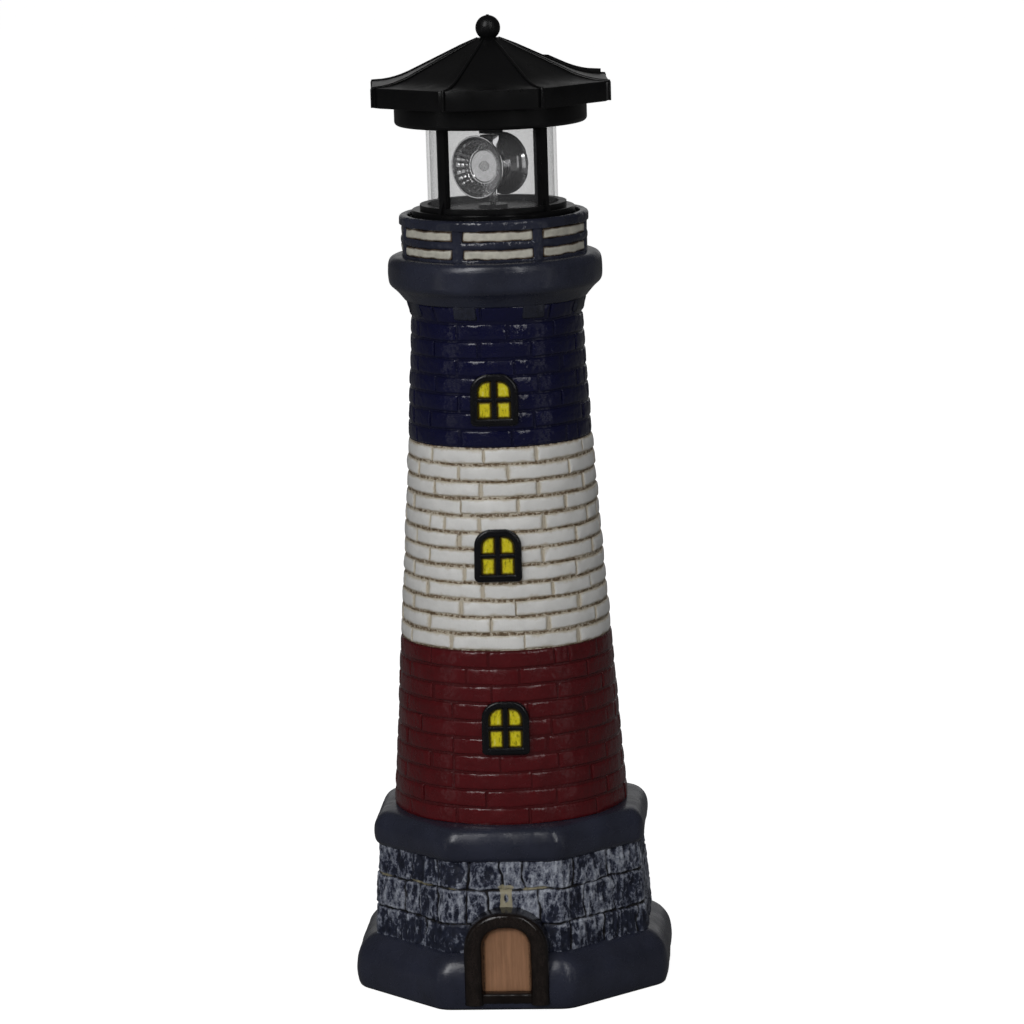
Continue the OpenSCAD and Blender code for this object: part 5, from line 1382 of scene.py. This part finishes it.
class LIGHTHOUSE_OT_beacon(bpy.types.Operator):
    """Builds the turning beacon with its two faceted reflectors"""

    bl_idname = "lighthouse.beacon"
    bl_label = "Beacon"

    def execute(self, context):
        s = context.scene.lighthouse_lamp
        chrome = bare_metal("Chrome", tuple(s.chrome), rough=0.12, spread=0.06, metallic=0.85)
        lens = self.lamp_lens()
        bowls = []
        for name, flip in (("front", 0.0), ("rear", math.pi)):
            bowls.append(place(self.bowl(s, name, flip, chrome), "beacon", "chrome", name + "_reflector"))
            place(self.lamp(name, flip, lens), "beacon", "led_lens", name + "_led")
        barrel = [(8.0, -4.6), (7.2, -4.4), (6.8, -4.0), (6.65, -3.4), (6.6, 0.0), (6.65, 3.4), (6.8, 4.0),
                  (7.2, 4.4), (8.0, 4.6)]
        profile = np.vstack([[(0, -4.65)], barrel, [(0, 4.65)]])
        hub = self.across(turned_body("hub_barrel", profile, chrome, columns=64, caps=False), 0.0)
        stem = turned_body("hub_stem",
                           [(1.55, 437.7), (2.3, 437.7), (2.65, 438.1), (2.65, BEACON_Z - 4),
                            (1.55, BEACON_Z - 4)],
                           chrome, columns=32, ring=True)
        saddle_top = DRUM - 6.5
        outline = rounded_outline(BEACON_SHIFT - 3.5, BEACON_SHIFT + 3.5, -4.4, 4.4, 0.9, 0.9, 5)
        steps = ((BEACON_Z + 6.2, 0.0), (saddle_top - 0.7, 0.0), (saddle_top - 0.2, 0.25), (saddle_top, 0.8))
        loops = [at_height(shrink(outline, d), z) for z, d in steps]
        saddle = skin("saddle", loops, chrome, turn=BEACON_AZIMUTH - math.pi / 2)
        pin = turned_body("pin",
                          [(0, saddle_top - 1), (1.45, saddle_top - 1), (1.45, DRUM - 1.0), (0, DRUM - 1.0)],
                          chrome, columns=24, caps=False)
        core = place(joined("beacon_core", [hub, stem, saddle, pin]), "beacon", "chrome", "beacon_hub")
        self.bounce(bowls + [core])
        return {"FINISHED"}

    def bounce(self, pieces):
        """White cards that only the chrome mirrors, as a reflector's bright side in a photo tent."""
        chrome = bpy.data.collections.new("Beacon chrome")
        for piece in pieces:
            chrome.objects.link(piece)
        aim = (0, 0, BEACON_Z * MM)
        for name, azimuth, far, power, width in (("left_bounce", -66, 1.5, 3.6, 0.8),
                                                 ("right_bounce", 44, 1.5, 4.5, 1.2),
                                                 ("rear_bounce", 116, 0.9, 6.0, 0.7)):
            where = around(math.radians(azimuth), far, 0.5)
            card = softbox(name, where, power, width, 1.6, gloss_only=True, aim=aim)
            card.light_linking.receiver_collection = chrome

    def across(self, piece, flip):
        """Lays a piece turned about the axis along the beacon's line of light."""
        middle = around(BEACON_AZIMUTH, BEACON_SHIFT, BEACON_Z) * MM
        turn = Matrix.Rotation(BEACON_AZIMUTH + flip, 4, "Z") @ Matrix.Rotation(math.pi / 2, 4, "X")
        piece.data.transform(Matrix.Translation(middle) @ turn)
        return piece

    def bowl(self, s, name, flip, chrome):
        columns = s.ribs * 4
        az = azimuths(columns)[None, :]
        throat, rim, start, end = 8.2, 16.9, 4.8, 12.55
        deep = lambda r: start + (end - start) * ((r - throat) / (rim - throat)) ** 1.7
        r_out = np.linspace(throat, rim, 12)
        bead = [(rim + 0.1, end - 0.75), (rim + 0.45, end - 0.55), (rim + 0.5, end - 0.15), (rim + 0.25, end),
                (rim - 0.25, end - 0.02)]
        r_in = np.linspace(rim - 0.55, 9.2, 12)
        outer = [(0, start - 0.02)] + [(r, deep(r)) for r in r_out[:-1]] + bead
        inner = ([(r, deep(min(r + 0.55, rim)) + 0.75 - 0.6 * ease(rim - 2, rim, r)) for r in r_in]
                 + [(8.6, start + 0.8), (0, start + 0.75)])
        profile = np.array(outer + inner)
        n = len(outer)
        phase = np.abs(((az / math.tau * s.ribs) % 1) - 0.5) * 2
        tier = np.zeros((len(profile), 1))
        tier[n + 1:n + 11] = 1.0
        radius = profile[:, :1] * (1 - tier * 0.030 * (1 - phase ** 1.5))
        wave = 0.28 * np.abs(((np.arange(len(profile)) % 3) - 1))[:, None] * tier
        points = around(az, radius, profile[:, 1:] - wave)
        turn = np.radians(np.linspace(0, 84, 6))
        knob = [(1.7, 4.9), (1.7, 8.2)] + [(1.7 * math.cos(t), 8.2 + 1.7 * math.sin(t)) for t in turn[1:]]
        rivet = turned_body("rivet", [(0, 4.9)] + knob + [(0, 9.9)], chrome, columns=16, caps=False)
        rivet.data.transform(Matrix.Translation((0, 10.2 * MM, 0)))
        return self.across(joined(name + "_bowl",
                                  [skin(name + "_bowl", points, chrome, caps=False, sharp=22), rivet]), flip)

    def lamp(self, name, flip, lens):
        turn = np.radians(np.linspace(0, 90, 8))
        profile = ([(0, 5.5), (2.9, 5.5), (2.9, 5.9), (2.45, 6.0), (2.45, 6.5)]
                   + [(2.45 * math.cos(t), 6.5 + 2.45 * math.sin(t)) for t in turn[1:-1]] + [(0, 8.95)])
        return self.across(turned_body(name + "_lamp", profile, lens, columns=32, caps=False), flip)

    def lamp_lens(self):
        material, t, shader = finish("Lamp lens")
        dress(t, shader, t.ramp(t.noise(3), ((0.3, (0.74, 0.74, 0.72)), (0.7, (0.88, 0.88, 0.86)))),
              t.ramp(t.noise(1.5, seed=1), ((0.3, 0.05), (0.7, 0.15))))
        shader.inputs["Alpha"].default_value = 0.3
        return material


# ---------------------------------------------------------------- studio

def softbox(name, where, power, width, height, gloss_only=False, aim=(0, 0, 0.28)):
    """Rectangular lamp that faces a point on the tower."""
    lamp = bpy.data.lights.new(name, "AREA")
    lamp.shape = "RECTANGLE"
    lamp.size, lamp.size_y, lamp.energy = width, height, power
    box = linked(name, lamp)
    box.location = where
    box.rotation_euler = (Vector(aim) - Vector(where)).to_track_quat("-Z", "Y").to_euler()
    box.visible_diffuse = box.visible_transmission = not gloss_only
    box.visible_camera = False
    return box


class LIGHTHOUSE_OT_stage(bpy.types.Operator):
    """Sets up the camera, the floor, the fill light, the softboxes and the cards that gloss shows"""

    bl_idname = "lighthouse.stage"
    bl_label = "Stage"

    def execute(self, context):
        s = context.scene.lighthouse_studio
        self.camera(context, s)
        self.floor()
        self.world(context, s)
        softbox("front_panel", (-0.15, -2.9, 1.25), s.front, 1.6, 1.2).visible_glossy = False
        softbox("left_softbox", (-1.25, -1.9, 1.05), s.key, 1.2, 0.7).visible_glossy = False
        softbox("right_softbox", (1.2, -1.9, 0.9), s.side, 0.12, 0.5)
        softbox("rear_softbox", (0.45, 2.3, 1.3), s.rear, 1.6, 1.2).visible_glossy = False
        for name, azimuth in (("left", -57), ("right", 61)):
            stand = around(math.radians(azimuth), 0.8, 0.36)
            softbox(name + "_strip", stand, s.strip, 0.05, 0.7, gloss_only=True, aim=(0, 0, 0.36))
        softbox("left_card", (-0.75, -1.40, 1.70), s.glint, 0.60, 1.5, gloss_only=True)
        softbox("right_card", (0.95, -1.30, 1.70), s.glint * 0.35, 0.25, 1.5, gloss_only=True)
        context.scene.view_settings.view_transform = "Standard"
        return {"FINISHED"}

    def camera(self, context, s):
        ahead = np.array([math.sin(s.pan) * math.cos(s.pitch), math.cos(s.pan) * math.cos(s.pitch),
                          -math.sin(s.pitch)])
        right = np.cross(ahead, (0, 0, 1))
        right /= np.linalg.norm(right)
        up = np.cross(right, ahead)
        c, k = math.cos(s.roll), math.sin(s.roll)
        axes = Matrix(np.stack([c * right + k * up, c * up - k * right, -ahead], 1).tolist())
        camera = linked("photo_camera", bpy.data.cameras.new("photo_camera"))
        spin = Matrix.Rotation(s.azimuth, 4, "Z")
        camera.matrix_world = spin @ Matrix.Translation((0, -s.distance, s.height)) @ axes.to_4x4()
        camera.data.lens = s.lens
        camera.data.sensor_width = 36.0
        camera.data.clip_start, camera.data.clip_end = 0.1, 100.0
        context.scene.camera = camera

    def floor(self):
        mesh = bpy.data.meshes.new("studio_floor")
        r = 30.0
        mesh.from_pydata([(-r, -r, 0), (r, -r, 0), (r, r, 0), (-r, r, 0)], [], [(0, 1, 2, 3)])
        floor = linked("studio_floor", mesh)
        material, t, shader = finish("Floor paper")
        ray = t.node("ShaderNodeLightPath").outputs
        seen = self.seen(t, ray)
        t.feed(shader.inputs["Base Color"], t.mix(seen, (0.1, 0.1, 0.1), (0.6, 0.6, 0.6)))
        shader.inputs["Roughness"].default_value = 1.0
        shader.inputs["Specular IOR Level"].default_value = 0.0
        glow = t.node("ShaderNodeEmission", (1, 1, 1, 1), 0.87)
        both = t.node("ShaderNodeAddShader", shader.outputs[0],
                      t.node("ShaderNodeMixShader", seen, None, glow.outputs[0]).outputs[0])
        t.feed(material.node_tree.nodes["Material Output"].inputs[0], both.outputs[0])
        mesh.materials.append(material)

    def seen(self, t, ray):
        """How white the background shows to a ray: camera, glass and, less so, gloss."""
        mirrored = t.times(ray["Is Glossy Ray"], bpy.context.scene.lighthouse_studio.mirrored)
        return t.math("MAXIMUM", t.math("MAXIMUM", ray["Is Camera Ray"], ray["Is Transmission Ray"]),
                      mirrored)

    def world(self, context, s):
        world = bpy.data.worlds.new("Studio")
        world.use_nodes = True
        context.scene.world = world
        t = Tree(world.node_tree)
        ray = t.node("ShaderNodeLightPath").outputs
        dim = t.share(ray["Is Glossy Ray"], -s.fill, s.fill)
        axis = t.node("ShaderNodeSeparateXYZ", t.node("ShaderNodeTexCoord").outputs["Generated"])
        behind = t.times(ray["Is Glossy Ray"], t.ramp(axis.outputs[1], ((0.86, 0.0), (0.97, 0.4))))
        level = t.math("MAXIMUM", t.math("MAXIMUM", self.seen(t, ray), behind), dim)
        back = world.node_tree.nodes["Background"]
        back.inputs[0].default_value = (1, 1, 1, 1)
        t.feed(back.inputs[1], level)


# ---------------------------------------------------------------- panel and start

class LIGHTHOUSE_PT_sidebar(bpy.types.Panel):
    """Lists the lighthouse's operators and settings"""

    bl_idname = "LIGHTHOUSE_PT_sidebar"
    bl_label = "Lighthouse"
    bl_space_type = "VIEW_3D"
    bl_region_type = "UI"
    bl_category = "Lighthouse"

    def draw(self, context):
        for operator in OPERATORS:
            self.layout.operator(operator.bl_idname)
        for name, group in SETTINGS:
            box = self.layout.box()
            for field in group.__annotations__:
                box.prop(getattr(context.scene, name), field)


OPERATORS = (LIGHTHOUSE_OT_stage, LIGHTHOUSE_OT_stone_base, LIGHTHOUSE_OT_brick_tower, LIGHTHOUSE_OT_gallery,
             LIGHTHOUSE_OT_windows, LIGHTHOUSE_OT_door, LIGHTHOUSE_OT_roof, LIGHTHOUSE_OT_lantern,
             LIGHTHOUSE_OT_beacon)
SETTINGS = (("lighthouse_studio", StudioSettings), ("lighthouse_stone", StoneSettings),
            ("lighthouse_brick", BrickSettings), ("lighthouse_opening", OpeningSettings),
            ("lighthouse_lamp", LampSettings))


def register():
    for group in [g for _, g in SETTINGS] + list(OPERATORS) + [LIGHTHOUSE_PT_sidebar]:
        bpy.utils.register_class(group)
    for name, group in SETTINGS:
        setattr(bpy.types.Scene, name, bpy.props.PointerProperty(type=group))


def unregister():
    for name, _ in SETTINGS:
        delattr(bpy.types.Scene, name)
    for group in [LIGHTHOUSE_PT_sidebar] + list(OPERATORS)[::-1] + [g for _, g in SETTINGS]:
        bpy.utils.unregister_class(group)


def main():
    register()
    bpy.ops.lighthouse.stage()
    bpy.ops.lighthouse.stone_base()
    bpy.ops.lighthouse.brick_tower()
    bpy.ops.lighthouse.gallery()
    bpy.ops.lighthouse.windows()
    bpy.ops.lighthouse.door()
    bpy.ops.lighthouse.roof()
    bpy.ops.lighthouse.lantern()
    bpy.ops.lighthouse.beacon()


if __name__ == "__main__":
    main()
